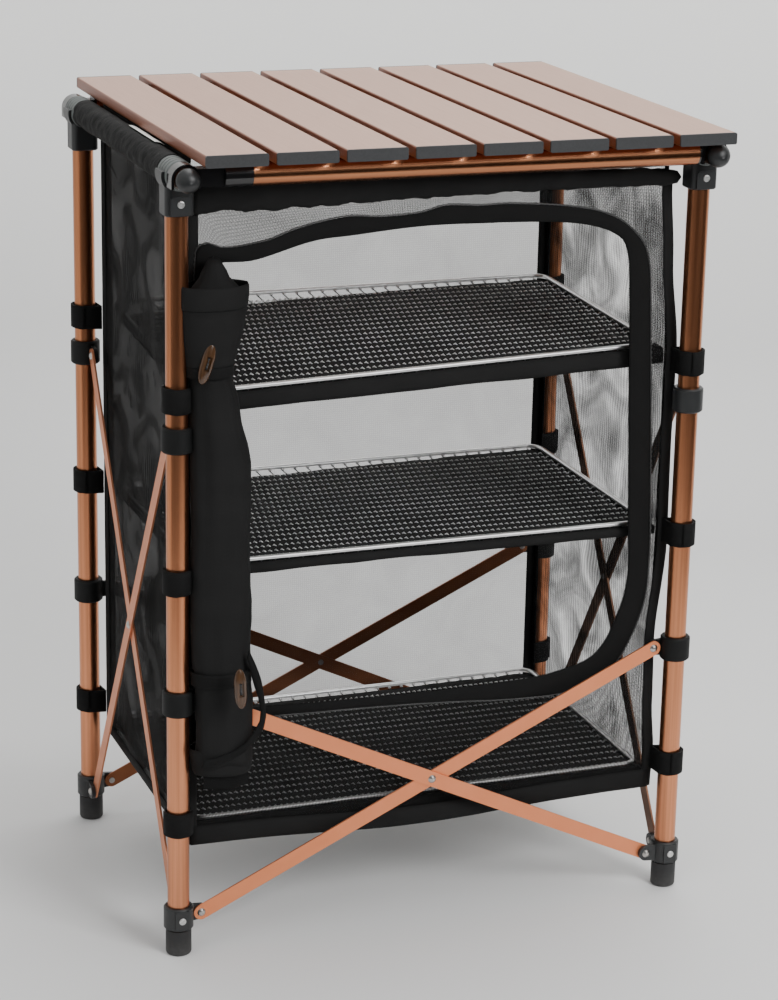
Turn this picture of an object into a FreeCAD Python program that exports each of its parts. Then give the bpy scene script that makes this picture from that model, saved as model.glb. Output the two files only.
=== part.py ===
import FreeCAD, Part
import math
import os
from FreeCAD import Rotation, Vector

# Camp kitchen table: a slatted roll-up top on a folding frame of four legs.
# Flat bars cross as scissors on every side.  A mesh cupboard with three wire
# shelves hangs inside the frame.  Units are mm, +Z is up, the front is -Y,
# and the origin is on the floor at the middle of the frame.

# ---- driving dimensions -------------------------------------------------
TOP_Z = 820.0            # worktop height
LEG_X = 269.0            # leg axis, half of the leg spacing across
LEG_Y = 178.0            # leg axis, half of the leg spacing front to back
LEG_R = 11.0             # leg and side rail tube
TUBE_WALL = 1.2

SLATS = 8
SLAT_W = 60.0
SLAT_GAP = 7.85
SLAT_L = 482.0
SLAT_T = 11.5
SLAT_WALL = 1.4
SLAT_EDGE_R = 1.8
SLAT_SHIFT_X = 8.4       # the slat field lies a little to the right on its rails
CAP_T = 2.5              # plastic end cap, flush with the slat
CAP_PLUG = 9.0
CORD_Y = 200.0           # elastic cords that string the slats together
CORD_R = 1.5
CORD_HOLE_R = 2.3

RING_R = 14.5            # ribbed ring on the side rail, over each leg
RING_L = 30.0
RING_GROOVES = 3
RING_CHAMFER = 1.0
GROOVE_DEPTH = 0.9
GROOVE_MOUTH = 1.0       # half widths of a groove, at its mouth and at its floor
GROOVE_FLOOR = 0.6
RAIL_END = 216.0
BALL_R = 11.6
BALL_L = 12.0
BALL_SKIRT = 3.0
BALL_PLUG = 8.0
SLEEVE_R = 13.5          # fabric sleeve round the side rail

SPREAD_R = 12.5          # spreader rail that carries the slats
SPREAD_Y = 203.0
SPREAD_PLUG_END = -205.0   # where the copper tube meets its long end fitting
SPREAD_RING_END = 250.0    # where it meets its short end fitting
FITTING_L = 27.0
HOOK_W = 16.0
HOOK_R = 14.0
HOOK_DROP = 9.0
SPIGOT_L = 14.0          # end fitting inside the tube
NECK_BELOW = 10.0        # block between the fitting and its hook
NECK_ABOVE = 7.0

SEAT = 0.3               # light contact between parts that rest on each other
RING_CLEAR = 0.5
FIT = 0.1                # moulded part pressed on a tube
SLIDE = 0.3              # moulded part that slides on a tube
OVERCUT = 1.0            # how far a cutting shape runs past the face it cuts

FOOT_R = 13.0
FOOT_H = 27.0
FOOT_SOLE = 4.0
FOOT_ROUND = 3.0

HEAD_W = 28.0            # leg-top connector
HEAD_ROUND = 6.0
HEAD_DEPTH = 17.0        # how far the leg goes into it
HEAD_WEB = 6.7
HEAD_CHEEK = 2.8
HEAD_L = 22.0
HEAD_EAR = 4.0
HEAD_CHAMFER = 1.2
HEAD_TOP_DROP = 10.0     # block of the head ends this far under the rail axis
PAD_W = 20.0             # flat pad for the fixing screw
PAD_H = 18.0
PAD_T = 1.6
PAD_ROUND = 3.0
PAD_RISE = 1.0
PAD_ROOT = 5.0
HUB_PAD_W = 14.0
HUB_PAD_MARGIN = 2.0
HUB_PAD_SINK = 3.2

HUB_R = 15.0             # bottom bracket
HUB_H = 24.0
COLLAR_R = 15.5          # sliding collar
COLLAR_H = 25.0
HUB_CHAMFER = 1.5
LOW_PIVOT_Z = 40.0
FRONT_COLLAR_Z = 270.0
SIDE_COLLAR_Z = 538.0
EAR_REACH = 24.0
EAR_R = 8.0
EAR_T = 4.0
EAR_ROOT_R = 10.0

BAR_W = 15.5
BAR_T = 2.0
BAR_GAP = 0.3
RIVET_R = 2.0
RIVET_CLEAR = 0.25
RIVET_HEAD_R = 4.3
RIVET_HEAD_H = 2.2
RIVET_TAIL_R = 3.2
RIVET_TAIL_H = 1.0

SHELF_X = 245.5          # centre line of the shelf frame wire
SHELF_Y = 148.0
SHELF_CORNER = 14.0
SHELF_WIRE = 2.5
MESH_WIRE = 1.1
SHELF_PITCH_X = 14.5
SHELF_PITCH_Y = 15.7
SHELF_Z = {"top": 590.0, "mid": 400.0, "low": 130.0}

CLOTH_T = 1.5
WALL_LOW_Z = 108.0
WALL_Y = 162.0
FRONT_DROP = 44.0        # front and back cloth start this far below the worktop
DOOR_LEFT = -236.0
DOOR_RIGHT = 226.0
DOOR_LOW = 244.0
DOOR_DROP = 92.0
DOOR_ROUND = 62.0
DOOR_SMALL_ROUND = 14.0
STRAP_H = 25.0
STRAP_T = 2.0
STRAP_TAB = 26.0
STRAP_Z = (142.0, 395.0, 577.0)

ROLL_DROP = 75.0
ROLL_HALF_Y = 18.2
ROLL_LOBE_Y = -205.6     # where the rolled door hangs in front of the scissor bars
TOGGLE_ASIDE = -14.0     # the upper toggle hangs left of the roll's middle
TOGGLE_L = 44.0
TOGGLE_R = 6.2
TOGGLE_END_R = 2.0
TOGGLE_HOLE_R = 1.3
TOGGLE_HOLE_GAP = 5.0

# ---- places worked out from them ----------------------------------------
slat_low_z = TOP_Z - SLAT_T
slat_pitch = SLAT_W + SLAT_GAP
slat_field = SLATS * SLAT_W + (SLATS - 1) * SLAT_GAP
slat_start_x = SLAT_SHIFT_X - slat_field / 2
spread_z = slat_low_z - SEAT - SPREAD_R
rail_z = slat_low_z - RING_CLEAR - RING_R
cradle_r = RING_R + SLIDE
leg_top_z = rail_z - cradle_r - HEAD_WEB
head_low_z = leg_top_z - HEAD_DEPTH

# depth layers at a scissor, measured outwards from the plane of the leg axes
bar_a = (-BAR_T, 0.0)
bar_b = (BAR_GAP, BAR_GAP + BAR_T)
ear_a = (bar_a[0] - BAR_GAP - EAR_T, bar_a[0] - BAR_GAP)
ear_b = (bar_b[1] + BAR_GAP, bar_b[1] + BAR_GAP + EAR_T)

wall_x = LEG_X - SLEEVE_R - SEAT      # outer face of the side mesh
hang_y = -WALL_Y - SEAT - ROLL_HALF_Y
inner_x = wall_x - CLOTH_T
inner_y = WALL_Y - CLOTH_T
front_top_z = TOP_Z - FRONT_DROP
door_top_z = TOP_Z - DOOR_DROP
roll_top_z = TOP_Z - ROLL_DROP

ROLL_FOOT_Z = 192.0         # lower end of the rolled door
# rolled door: middle x, middle y, half width, half depth, height
ROLL_SECTIONS = [
    (-225.0, hang_y + 5.9, 20.0, 12.0, roll_top_z),
    (-228.0, hang_y + 3.5, 25.0, 14.5, roll_top_z - 33.0),
    (-222.5, hang_y, 31.0, ROLL_HALF_Y, roll_top_z - 73.0),
    (-229.0, hang_y, 24.0, ROLL_HALF_Y, roll_top_z - 129.0),
    (-223.0, hang_y, 29.0, ROLL_HALF_Y, roll_top_z - 205.0),
    (-222.0, hang_y, 30.0, ROLL_HALF_Y, ROLL_FOOT_Z + 158.0),
    (-221.0, ROLL_LOBE_Y, 30.0, 18.0, ROLL_FOOT_Z + 126.0),
    (-221.0, ROLL_LOBE_Y, 31.0, 18.0, ROLL_FOOT_Z + 105.0),
    (-221.0, ROLL_LOBE_Y, 33.0, 18.0, ROLL_FOOT_Z + 43.0),
    (-222.0, ROLL_LOBE_Y + 0.6, 22.0, 12.0, ROLL_FOOT_Z)]
UPPER_TIE, LOWER_TIE = ROLL_SECTIONS[3], ROLL_SECTIONS[7]

UP = Vector(0, 0, 1)
ACROSS = Vector(1, 0, 0)
BACK = Vector(0, 1, 0)
LEFT, RIGHT, FRONT, REAR = -1, 1, -1, 1


def cylinder(radius, length, start, direction=UP):
    return Part.makeCylinder(radius, length, start, direction)


def block(low, high):
    """Box between two corners."""
    size = high - low
    return Part.makeBox(size.x, size.y, size.z, low)


def tube(radius, length, start, direction):
    outer = cylinder(radius, length, start, direction)
    return outer.cut(cylinder(radius - TUBE_WALL, length, start, direction))


def turned(points, start, direction):
    """Closed (radius, distance) outline turned about an axis; a 4-long point is an arc via."""
    side = BACK if abs(direction.dot(BACK)) < 0.5 else ACROSS
    place = [start + side * p[-2] + direction * p[-1] for p in points]
    edges = []
    for k, point in enumerate(points):
        first, last = place[k - 1], place[k]
        if len(point) == 4:
            via = start + side * point[0] + direction * point[1]
            edges.append(Part.Arc(first, via, last).toShape())
        else:
            edges.append(Part.LineSegment(first, last).toShape())
    face = Part.Face(Part.Wire(edges))
    solid = face.revolve(start, direction, 360)
    return solid if solid.Volume > 0 else solid.reversed()


def dome(radius, base, height):
    """Arc of a ball from the rim (radius, base) to the axis, for use in turned()."""
    ball = (radius ** 2 + height ** 2) / (2 * height)
    angle = math.asin(min(1.0, radius / ball)) / 2
    return ball * math.sin(angle), base + height - ball * (1 - math.cos(angle)), 0, base + height


def export(node, *shapes):
    shape = shapes[0] if len(shapes) == 1 else Part.makeCompound(list(shapes))
    shape.exportStep("parts/" + node + ".step")


# ---- scissor parts --------------------------------------------------------
def leg_axis(side, end):
    return Vector(side * LEG_X, end * LEG_Y, 0)


def flat_bar(first, last, outward, layer):
    """Rounded flat bar from pivot to pivot, with holes at the ends and the middle."""
    reach = last - first
    length = reach.Length
    along = reach.normalize()
    plate = block(Vector(0, layer[0], -BAR_W / 2), Vector(length, layer[1], BAR_W / 2))
    for x in (0, length):
        plate = plate.fuse(cylinder(BAR_W / 2, BAR_T, Vector(x, layer[0], 0), BACK))
    for x in (0, length / 2, length):
        hole = cylinder(RIVET_R + RIVET_CLEAR, 2 * BAR_T, Vector(x, layer[0] - BAR_T / 2, 0), BACK)
        plate = plate.cut(hole)
    plate = plate.removeSplitter()
    turn = Rotation(along, outward, along.cross(outward), "XYZ")
    plate.Placement = FreeCAD.Placement(first, turn)
    return plate


def ear(hub_centre, inward, outward, layer):
    """Lug with a round end and a tapered root, standing off a hub."""
    tip = hub_centre + inward * EAR_REACH
    outline = [Vector(0, 0, -EAR_ROOT_R), Vector(EAR_REACH, 0, -EAR_R), Vector(EAR_REACH, 0, EAR_R),
               Vector(0, 0, EAR_ROOT_R), Vector(0, 0, -EAR_ROOT_R)]
    plate = Part.Face(Part.makePolygon(outline)).extrude(Vector(0, layer[1] - layer[0], 0))
    plate.translate(Vector(0, layer[0], 0))
    plate = plate.fuse(cylinder(EAR_R, EAR_T, Vector(EAR_REACH, layer[0], 0), BACK))
    turn = Rotation(inward, outward, inward.cross(outward), "XYZ")
    plate.Placement = FreeCAD.Placement(hub_centre, turn)
    hole = cylinder(RIVET_R + RIVET_CLEAR, 4 * EAR_T, tip + outward * (layer[0] - EAR_T), outward)
    return plate, hole


def hub(side, end, z, radius, height, clearance, ears):
    """Ring round a leg with its lugs; each lug is (inward, outward, layer)."""
    centre = leg_axis(side, end) + UP * z
    low = centre - UP * (height / 2)
    body = turned([(0, 0), (radius - HUB_CHAMFER, 0), (radius, HUB_CHAMFER),
                   (radius, height - HUB_CHAMFER), (radius - HUB_CHAMFER, height), (0, height)],
                  low, UP)
    holes = [cylinder(LEG_R + clearance, height + 2 * OVERCUT, low - UP * OVERCUT, UP)]
    for inward, outward, layer in ears:
        plate, hole = ear(centre, inward, outward, layer)
        body = body.fuse(plate)
        holes.append(hole)
    for hole in holes:
        body = body.cut(hole)
    return body


def x_lug(side, end, layer):
    return ACROSS * -side, BACK * end, layer


def y_lug(side, end, layer):
    return BACK * -end, ACROSS * side, layer


def bracket(side, end):
    """Bottom bracket: one lug for the front or rear scissor, one for the side scissor."""
    starts_a = side * end > 0
    x_layer = ear_a if starts_a else ear_b
    y_layer = ear_a if end == FRONT else ear_b
    lugs = [x_lug(side, end, x_layer), y_lug(side, end, y_layer)]
    body = hub(side, end, LOW_PIVOT_Z, HUB_R, HUB_H, FIT, lugs)
    return body.fuse(screw_pad(side, end, LOW_PIVOT_Z, HUB_R))


def screw_pad(side, end, z, radius):
    """Flat raised pad on the outer face, where the fixing screw sits."""
    axis = leg_axis(side, end)
    inner = radius - HUB_PAD_SINK
    half, rise = HUB_PAD_W / 2, HUB_H / 2 - HUB_PAD_MARGIN
    low = axis + Vector(-half, min(end * inner, end * radius), z - rise)
    high = axis + Vector(half, max(end * inner, end * radius), z + rise)
    pad = block(low, high)
    return pad.cut(cylinder(LEG_R + FIT, HUB_H, axis + UP * (z - HUB_H / 2), UP))


def frame_collar(side, end):
    layer = ear_b if side * end > 0 else ear_a
    return hub(side, end, FRONT_COLLAR_Z, COLLAR_R, COLLAR_H, SLIDE, [x_lug(side, end, layer)])


def side_collar(side, end):
    layer = ear_b if end == FRONT else ear_a
    return hub(side, end, SIDE_COLLAR_Z, COLLAR_R, COLLAR_H, SLIDE, [y_lug(side, end, layer)])


def rivet(point, outward, inner, outer):
    """Domed rivet through the layers from inner to outer."""
    tail = inner - FIT
    head = outer + FIT
    outline = [(0, tail - RIVET_TAIL_H), (RIVET_TAIL_R, tail - RIVET_TAIL_H), (RIVET_TAIL_R, tail),
               (RIVET_R, tail), (RIVET_R, head), (RIVET_HEAD_R, head),
               dome(RIVET_HEAD_R, head, RIVET_HEAD_H)]
    return turned(outline, point, outward)


def pivot_a(point, outward):
    return rivet(point, outward, ear_a[0], bar_a[1])


def pivot_b(point, outward):
    return rivet(point, outward, bar_b[0], ear_b[1])


def pivot_middle(point, outward):
    return rivet(point, outward, bar_a[0], bar_b[1])


def frame_pivots(end):
    """Pivot points of the front or rear scissor: bar A ends, then bar B ends."""
    x, y = LEG_X - EAR_REACH, end * LEG_Y
    return (Vector(end * x, y, LOW_PIVOT_Z), Vector(-end * x, y, FRONT_COLLAR_Z),
            Vector(-end * x, y, LOW_PIVOT_Z), Vector(end * x, y, FRONT_COLLAR_Z))


def side_pivots(side):
    x, y = side * LEG_X, LEG_Y - EAR_REACH
    return (Vector(x, -y, LOW_PIVOT_Z), Vector(x, y, SIDE_COLLAR_Z),
            Vector(x, y, LOW_PIVOT_Z), Vector(x, -y, SIDE_COLLAR_Z))


# ---- legs, feet and leg tops ----------------------------------------------
def leg(side, end):
    return tube(LEG_R, leg_top_z - FOOT_SOLE, leg_axis(side, end) + UP * FOOT_SOLE, UP)


def foot(side, end):
    """Rubber cup over the leg end, with a rounded sole."""
    axis = leg_axis(side, end)
    bend = FOOT_R - FOOT_ROUND * (1 - math.cos(math.pi / 4))
    rise = FOOT_ROUND * (1 - math.sin(math.pi / 4))
    bore = LEG_R + FIT
    return turned([(0, 0), (FOOT_R - FOOT_ROUND, 0), (bend, rise, FOOT_R, FOOT_ROUND),
                   (FOOT_R, FOOT_H), (bore, FOOT_H), (bore, FOOT_SOLE), (0, FOOT_SOLE)], axis, UP)


def head(side, end):
    """Leg-top connector: a socket below and a cradle for the rail ring above."""
    axis = leg_axis(side, end)
    half = HEAD_W / 2
    socket = block(axis + Vector(-half, -half, head_low_z), axis + Vector(half, half, rail_z - HEAD_TOP_DROP))
    uprights = [e for e in socket.Edges if abs(e.Vertexes[0].Z - e.Vertexes[-1].Z) > 1]
    socket = socket.makeFillet(HEAD_ROUND, uprights)
    rim = [e for e in socket.Edges if max(v.Z for v in e.Vertexes) < head_low_z + 0.01]
    socket = socket.makeChamfer(HEAD_CHAMFER, rim)
    start = axis + Vector(0, -HEAD_L / 2, rail_z)
    cheek = cylinder(cradle_r + HEAD_CHEEK, HEAD_L, start, BACK)
    clip = HEAD_W * 2
    cheek = cheek.cut(block(start + Vector(-clip, -OVERCUT, HEAD_EAR), start + Vector(clip, clip, clip)))
    pad_y, root_y, pad_z = end * (half + PAD_T), end * PAD_ROOT, head_low_z + PAD_RISE
    pad = block(axis + Vector(-PAD_W / 2, min(pad_y, root_y), pad_z),
                axis + Vector(PAD_W / 2, max(pad_y, root_y), pad_z + PAD_H))
    corners = [e for e in pad.Edges if abs(e.Vertexes[0].Y - e.Vertexes[-1].Y) > 1]
    pad = pad.makeFillet(PAD_ROUND, corners)
    body = socket.fuse(cheek).fuse(pad)
    body = body.cut(cylinder(cradle_r, HEAD_W * 2, start - BACK * HEAD_W, BACK))
    socket_low = head_low_z - OVERCUT
    body = body.cut(cylinder(LEG_R + FIT, leg_top_z - socket_low, axis + UP * socket_low))
    return body.removeSplitter()


# ---- side rails ----------------------------------------------------------
def side_rail(side):
    return tube(LEG_R, 2 * RAIL_END, Vector(side * LEG_X, -RAIL_END, rail_z), BACK)


def rail_ring(side, end):
    """Ribbed ring that sits in the cradle."""
    start = Vector(side * LEG_X, end * LEG_Y - RING_L / 2, rail_z)
    bore = LEG_R + FIT
    outline = [(bore, 0), (RING_R - RING_CHAMFER, 0), (RING_R, RING_CHAMFER)]
    pitch = RING_L / (RING_GROOVES + 1)
    for k in range(1, RING_GROOVES + 1):
        s = k * pitch
        floor_r = RING_R - GROOVE_DEPTH
        outline += [(RING_R, s - GROOVE_MOUTH), (floor_r, s - GROOVE_FLOOR),
                    (floor_r, s + GROOVE_FLOOR), (RING_R, s + GROOVE_MOUTH)]
    outline += [(RING_R, RING_L - RING_CHAMFER), (RING_R - RING_CHAMFER, RING_L), (bore, RING_L)]
    return turned(outline, start, BACK)


def ball_cap(side, end):
    """Domed plug in the end of the side rail."""
    start = Vector(side * LEG_X, end * RAIL_END, rail_z)
    plug = LEG_R - TUBE_WALL - FIT
    return turned([(0, -BALL_PLUG), (plug, -BALL_PLUG), (plug, 0), (BALL_R, 0), (BALL_R, BALL_SKIRT),
                   dome(BALL_R, BALL_SKIRT, BALL_L - BALL_SKIRT)], start, BACK * end)


# ---- spreader rails and slats ---------------------------------------------
def hook(side, y):
    """Saddle over the side rail, open below so that it lifts off."""
    centre = Vector(side * LEG_X, y - HOOK_W / 2, rail_z)
    body = cylinder(HOOK_R, HOOK_W, centre, BACK)
    body = body.fuse(block(centre + Vector(-HOOK_R, 0, -HOOK_DROP), centre + Vector(HOOK_R, HOOK_W, 0)))
    slot = LEG_R + SLIDE + FIT
    channel = cylinder(slot, HOOK_W + 2 * OVERCUT, centre - BACK * OVERCUT, BACK)
    channel = channel.fuse(block(centre + Vector(-slot, -OVERCUT, -2 * HOOK_R),
                                 centre + Vector(slot, HOOK_W + OVERCUT, 0)))
    return body, channel


def spreader_tube(end):
    """Round rail across the frame, mirrored through the middle for the other end."""
    low, high = sorted((-end * SPREAD_PLUG_END, -end * SPREAD_RING_END))
    return tube(SPREAD_R, high - low, Vector(low, end * SPREAD_Y, spread_z), ACROSS)


def spreader_fitting(end, side, tube_end, length):
    """Moulded end: spigot in the tube, round body, and the hook over the side rail."""
    y = end * SPREAD_Y
    toward = ACROSS * side
    start = Vector(tube_end, y, spread_z)
    spigot_r = SPREAD_R - TUBE_WALL - FIT
    body = cylinder(spigot_r, SPIGOT_L, start - toward * SPIGOT_L, toward)
    body = body.fuse(cylinder(SPREAD_R - FIT, length, start, toward))
    hook_body, channel = hook(side, y)
    neck_low = Vector(min(tube_end, side * LEG_X), y - HOOK_W / 2, spread_z - NECK_BELOW)
    neck_high = Vector(max(tube_end, side * LEG_X), y + HOOK_W / 2, spread_z + NECK_ABOVE)
    body = body.fuse(block(neck_low, neck_high)).fuse(hook_body).cut(channel)
    return body.removeSplitter()


def slat_x(index):
    return slat_start_x + index * slat_pitch


def rounded_bar(x, y, length):
    """Full slat section, with its four long edges rounded."""
    bar = block(Vector(x, y, slat_low_z), Vector(x + SLAT_W, y + length, TOP_Z))
    long_edges = [e for e in bar.Edges if abs(e.Vertexes[0].Y - e.Vertexes[-1].Y) > CAP_T / 2]
    return bar.makeFillet(SLAT_EDGE_R, long_edges)


def slat_cell(x, y, length, cell, inset):
    """One of the three hollow cells of the extrusion."""
    width = (SLAT_W - 4 * SLAT_WALL) / 3
    low_x = x + SLAT_WALL + cell * (width + SLAT_WALL)
    return block(Vector(low_x + inset, y, slat_low_z + SLAT_WALL + inset),
                 Vector(low_x + width - inset, y + length, TOP_Z - SLAT_WALL - inset))


def slat(index, cord_holes):
    """Hollow aluminium extrusion with two inner ribs."""
    x = slat_x(index)
    start = -SLAT_L / 2 + CAP_T
    length = SLAT_L - 2 * CAP_T
    body = rounded_bar(x, start, length)
    for cell in range(3):
        body = body.cut(slat_cell(x, start - OVERCUT, length + 2 * OVERCUT, cell, 0))
    for hole in cord_holes:
        body = body.cut(hole)
    return body


def slat_caps(index):
    """Two moulded caps, each a flush plate with plugs in the cells."""
    x = slat_x(index)
    caps = []
    for end in (FRONT, REAR):
        face = end * SLAT_L / 2
        low = min(face, face - end * CAP_T)
        body = rounded_bar(x, low, CAP_T)
        plug_low = low - CAP_PLUG if end == REAR else low + CAP_T
        for cell in (0, 2):
            body = body.fuse(slat_cell(x, plug_low, CAP_PLUG, cell, FIT))
        caps.append(body)
    return caps


def cord_run(end, radius):
    """Straight run from the middle of the first slat to the middle of the last."""
    start = Vector(slat_x(0) + SLAT_W / 2, end * CORD_Y, slat_low_z + SLAT_T / 2)
    return cylinder(radius, (SLATS - 1) * slat_pitch, start, ACROSS)


# ---- wire shelves ----------------------------------------------------------
def wire_bar(start, direction, length):
    """Mesh wire with flats above and below, welded across its neighbours."""
    side = direction.cross(UP)
    corner = MESH_WIRE / math.cos(math.pi / 6)
    points = []
    for k in range(7):
        angle = math.radians(60 * k)
        points.append(start + side * (corner * math.cos(angle)) + UP * (corner * math.sin(angle)))
    return Part.Face(Part.makePolygon(points)).extrude(direction * length)


def shelf_frame(z):
    """Round wire bent to a rectangle with rounded corners."""
    reach_x, reach_y = SHELF_X - SHELF_CORNER, SHELF_Y - SHELF_CORNER
    frame = cylinder(SHELF_WIRE, 2 * reach_x, Vector(-reach_x, -SHELF_Y, z), ACROSS)
    frame = frame.fuse(cylinder(SHELF_WIRE, 2 * reach_x, Vector(-reach_x, SHELF_Y, z), ACROSS))
    for side in (LEFT, RIGHT):
        start = Vector(side * SHELF_X, -reach_y, z)
        frame = frame.fuse(cylinder(SHELF_WIRE, 2 * reach_y, start, BACK))
        for end in (FRONT, REAR):
            centre = Vector(side * reach_x, end * reach_y, z)
            ring = Part.makeCircle(SHELF_WIRE, Vector(side * SHELF_X, end * reach_y, z), BACK)
            bend = Part.Face(Part.Wire(ring)).revolve(centre, UP, 90 * side * end)
            frame = frame.fuse(bend)
    return frame.removeSplitter()


def rounded_loop(x0, x1, y0, y1, radii, z):
    """Closed rounded rectangle in the plane z; radii from the low-left corner, turning left."""
    corners = [(x0, y0, -1, -1), (x1, y0, 1, -1), (x1, y1, 1, 1), (x0, y1, -1, 1)]
    arcs = []
    for (cx, cy, sx, sy), r in zip(corners, radii):
        centre = Vector(cx - sx * r, cy - sy * r, z)
        across = centre + Vector(sx * r, 0, 0)
        along = centre + Vector(0, sy * r, 0)
        middle = centre + Vector(sx, sy, 0).normalize() * r
        ends = (across, along) if sx * sy > 0 else (along, across)
        arcs.append((ends[0], middle, ends[1]))
    edges = []
    for k, (first, middle, last) in enumerate(arcs):
        edges.append(Part.Arc(first, middle, last).toShape())
        edges.append(Part.LineSegment(last, arcs[(k + 1) % 4][0]).toShape())
    middle_low = Vector(0, y0, z)
    first_half = Part.LineSegment(arcs[0][2], middle_low).toShape()
    second_half = Part.LineSegment(middle_low, arcs[1][0]).toShape()
    return Part.Wire([second_half] + edges[2:] + [edges[0], first_half])


def shelf(z):
    solids = [shelf_frame(z)]
    rod_z = z - SHELF_WIRE - MESH_WIRE
    count = int((SHELF_X - SHELF_CORNER / 2) / SHELF_PITCH_X)
    for k in range(-count, count + 1):
        start = Vector(k * SHELF_PITCH_X, -SHELF_Y, rod_z)
        solids.append(wire_bar(start, BACK, 2 * SHELF_Y))
    count = int((SHELF_Y - SHELF_CORNER / 2) / SHELF_PITCH_Y)
    half = SHELF_X - SHELF_WIRE - FIT
    for k in range(-count, count + 1):
        start = Vector(-half, k * SHELF_PITCH_Y, rod_z + 2 * MESH_WIRE)
        solids.append(wire_bar(start, ACROSS, 2 * half))
    return solids


def shelf_low_face(z):
    return z - SHELF_WIRE - 2 * MESH_WIRE


# ---- cloth -------------------------------------------------------------
def side_wall(side):
    low, high = sorted((side * inner_x, side * wall_x))
    return block(Vector(low, -WALL_Y, WALL_LOW_Z), Vector(high, WALL_Y, rail_z))


def back_wall():
    return block(Vector(-inner_x, inner_y, WALL_LOW_Z), Vector(inner_x, WALL_Y, front_top_z))


def front_surround():
    """Front mesh with the zipped door opening cut out."""
    panel = block(Vector(-inner_x, -WALL_Y, WALL_LOW_Z), Vector(inner_x, -inner_y, front_top_z))
    small, large = DOOR_SMALL_ROUND, DOOR_ROUND
    loop = rounded_loop(DOOR_LEFT, DOOR_RIGHT, DOOR_LOW, door_top_z, (small, large, large, small), 0)
    opening = Part.Face(loop).extrude(Vector(0, 0, 3 * CLOTH_T))
    opening.Placement = FreeCAD.Placement(Vector(0, -inner_y + CLOTH_T, 0), Rotation(ACROSS, 90))
    return panel.cut(opening)


def cloth_tier(z):
    top = shelf_low_face(z) - SEAT
    return block(Vector(-inner_x, -inner_y, top - CLOTH_T), Vector(inner_x, inner_y, top))


def sleeve(side):
    reach = LEG_Y - RING_L / 2 - SEAT
    outer = cylinder(SLEEVE_R, 2 * reach, Vector(side * LEG_X, -reach, rail_z), BACK)
    return outer.cut(cylinder(LEG_R + SLIDE, 2 * reach, Vector(side * LEG_X, -reach, rail_z), BACK))


def strap(side, end, z):
    """Webbing loop round a leg, with the tab that joins it to the side mesh."""
    axis = leg_axis(side, end) + UP * (z - STRAP_H / 2)
    radius = LEG_R + SLIDE + STRAP_T
    loop = cylinder(radius, STRAP_H, axis)
    edge = side * (wall_x + SEAT)
    low_x, high_x = sorted((edge, edge + side * STRAP_T))
    low_y, high_y = sorted((end * LEG_Y, end * (LEG_Y - STRAP_TAB)))
    tab = block(Vector(low_x, low_y, axis.z), Vector(high_x, high_y, axis.z + STRAP_H))
    loop = loop.fuse(tab)
    return loop.cut(cylinder(LEG_R + SLIDE, STRAP_H, axis))


def door_roll():
    """The mesh door, rolled up and tied at the left of its opening."""
    rings = []
    for x, y, half_x, half_y, z in ROLL_SECTIONS:
        curve = Part.Ellipse(Vector(x, y, z), half_x, half_y)
        rings.append(Part.Wire(curve.toShape()))
    return Part.makeLoft(rings, True, True)


def roll_seat(aside, section, stand_off):
    """Place that stands off the front of the roll, a given way aside of its middle."""
    x, y, half_x, half_y, z = section
    depth = half_y * math.sqrt(1 - (aside / half_x) ** 2)
    outward = Vector(aside / half_x ** 2, -depth / half_y ** 2, 0).normalize()
    return Vector(x + aside, y - depth, z) + outward * stand_off


def toggle(aside, section):
    """Turned toggle with two cord holes, hanging upright against the roll."""
    x, y, z = roll_seat(aside, section, TOGGLE_R + SEAT)
    half = TOGGLE_L / 2
    body = turned([(0, -half), (TOGGLE_END_R, -half), (TOGGLE_R, 0, TOGGLE_END_R, half), (0, half)],
                  Vector(x, y, z), UP)
    for s in (-TOGGLE_HOLE_GAP, TOGGLE_HOLE_GAP):
        start = Vector(x, y - 2 * TOGGLE_R, z + s)
        body = body.cut(cylinder(TOGGLE_HOLE_R, 4 * TOGGLE_R, start, BACK))
    return body


# ---- write one file for each named part --------------------------------------
os.makedirs("parts", exist_ok=True)

for end, name in ((FRONT, "front"), (REAR, "rear")):
    export("legs_" + name, leg(LEFT, end), leg(RIGHT, end))
    export("feet_" + name, foot(LEFT, end), foot(RIGHT, end))
    export("brackets_" + name, bracket(LEFT, end), bracket(RIGHT, end))
    export("collars_" + name, frame_collar(LEFT, end), frame_collar(RIGHT, end))
    export("heads_" + name, head(LEFT, end), head(RIGHT, end))

    outward = BACK * end
    a_low, a_high, b_low, b_high = frame_pivots(end)
    middle = (a_low + a_high) * 0.5
    export("brace_" + name, flat_bar(a_low, a_high, outward, bar_a), flat_bar(b_low, b_high, outward, bar_b))
    rivets = [pivot_a(a_low, outward), pivot_a(a_high, outward), pivot_b(b_low, outward),
              pivot_b(b_high, outward), pivot_middle(middle, outward)]
    for side in (LEFT, RIGHT):
        side_a_low, _, side_b_low, _ = side_pivots(side)
        if end == FRONT:
            rivets.append(pivot_a(side_a_low, ACROSS * side))
        else:
            rivets.append(pivot_b(side_b_low, ACROSS * side))
    export("rivets_" + name, *rivets)
    export("straps_" + name, *[strap(side, end, z) for side in (LEFT, RIGHT) for z in STRAP_Z])

for side, name in ((LEFT, "left"), (RIGHT, "right")):
    outward = ACROSS * side
    a_low, a_high, b_low, b_high = side_pivots(side)
    middle = (a_low + a_high) * 0.5
    export("brace_" + name + "_rising", flat_bar(a_low, a_high, outward, bar_a))
    export("brace_" + name + "_falling", flat_bar(b_low, b_high, outward, bar_b))
    export("rivets_" + name + "_rising", pivot_middle(middle, outward), pivot_a(a_high, outward))
    export("rivet_" + name + "_falling", pivot_b(b_high, outward))
    export("collar_" + name + "_front", side_collar(side, FRONT))
    export("collar_" + name + "_rear", side_collar(side, REAR))

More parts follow.
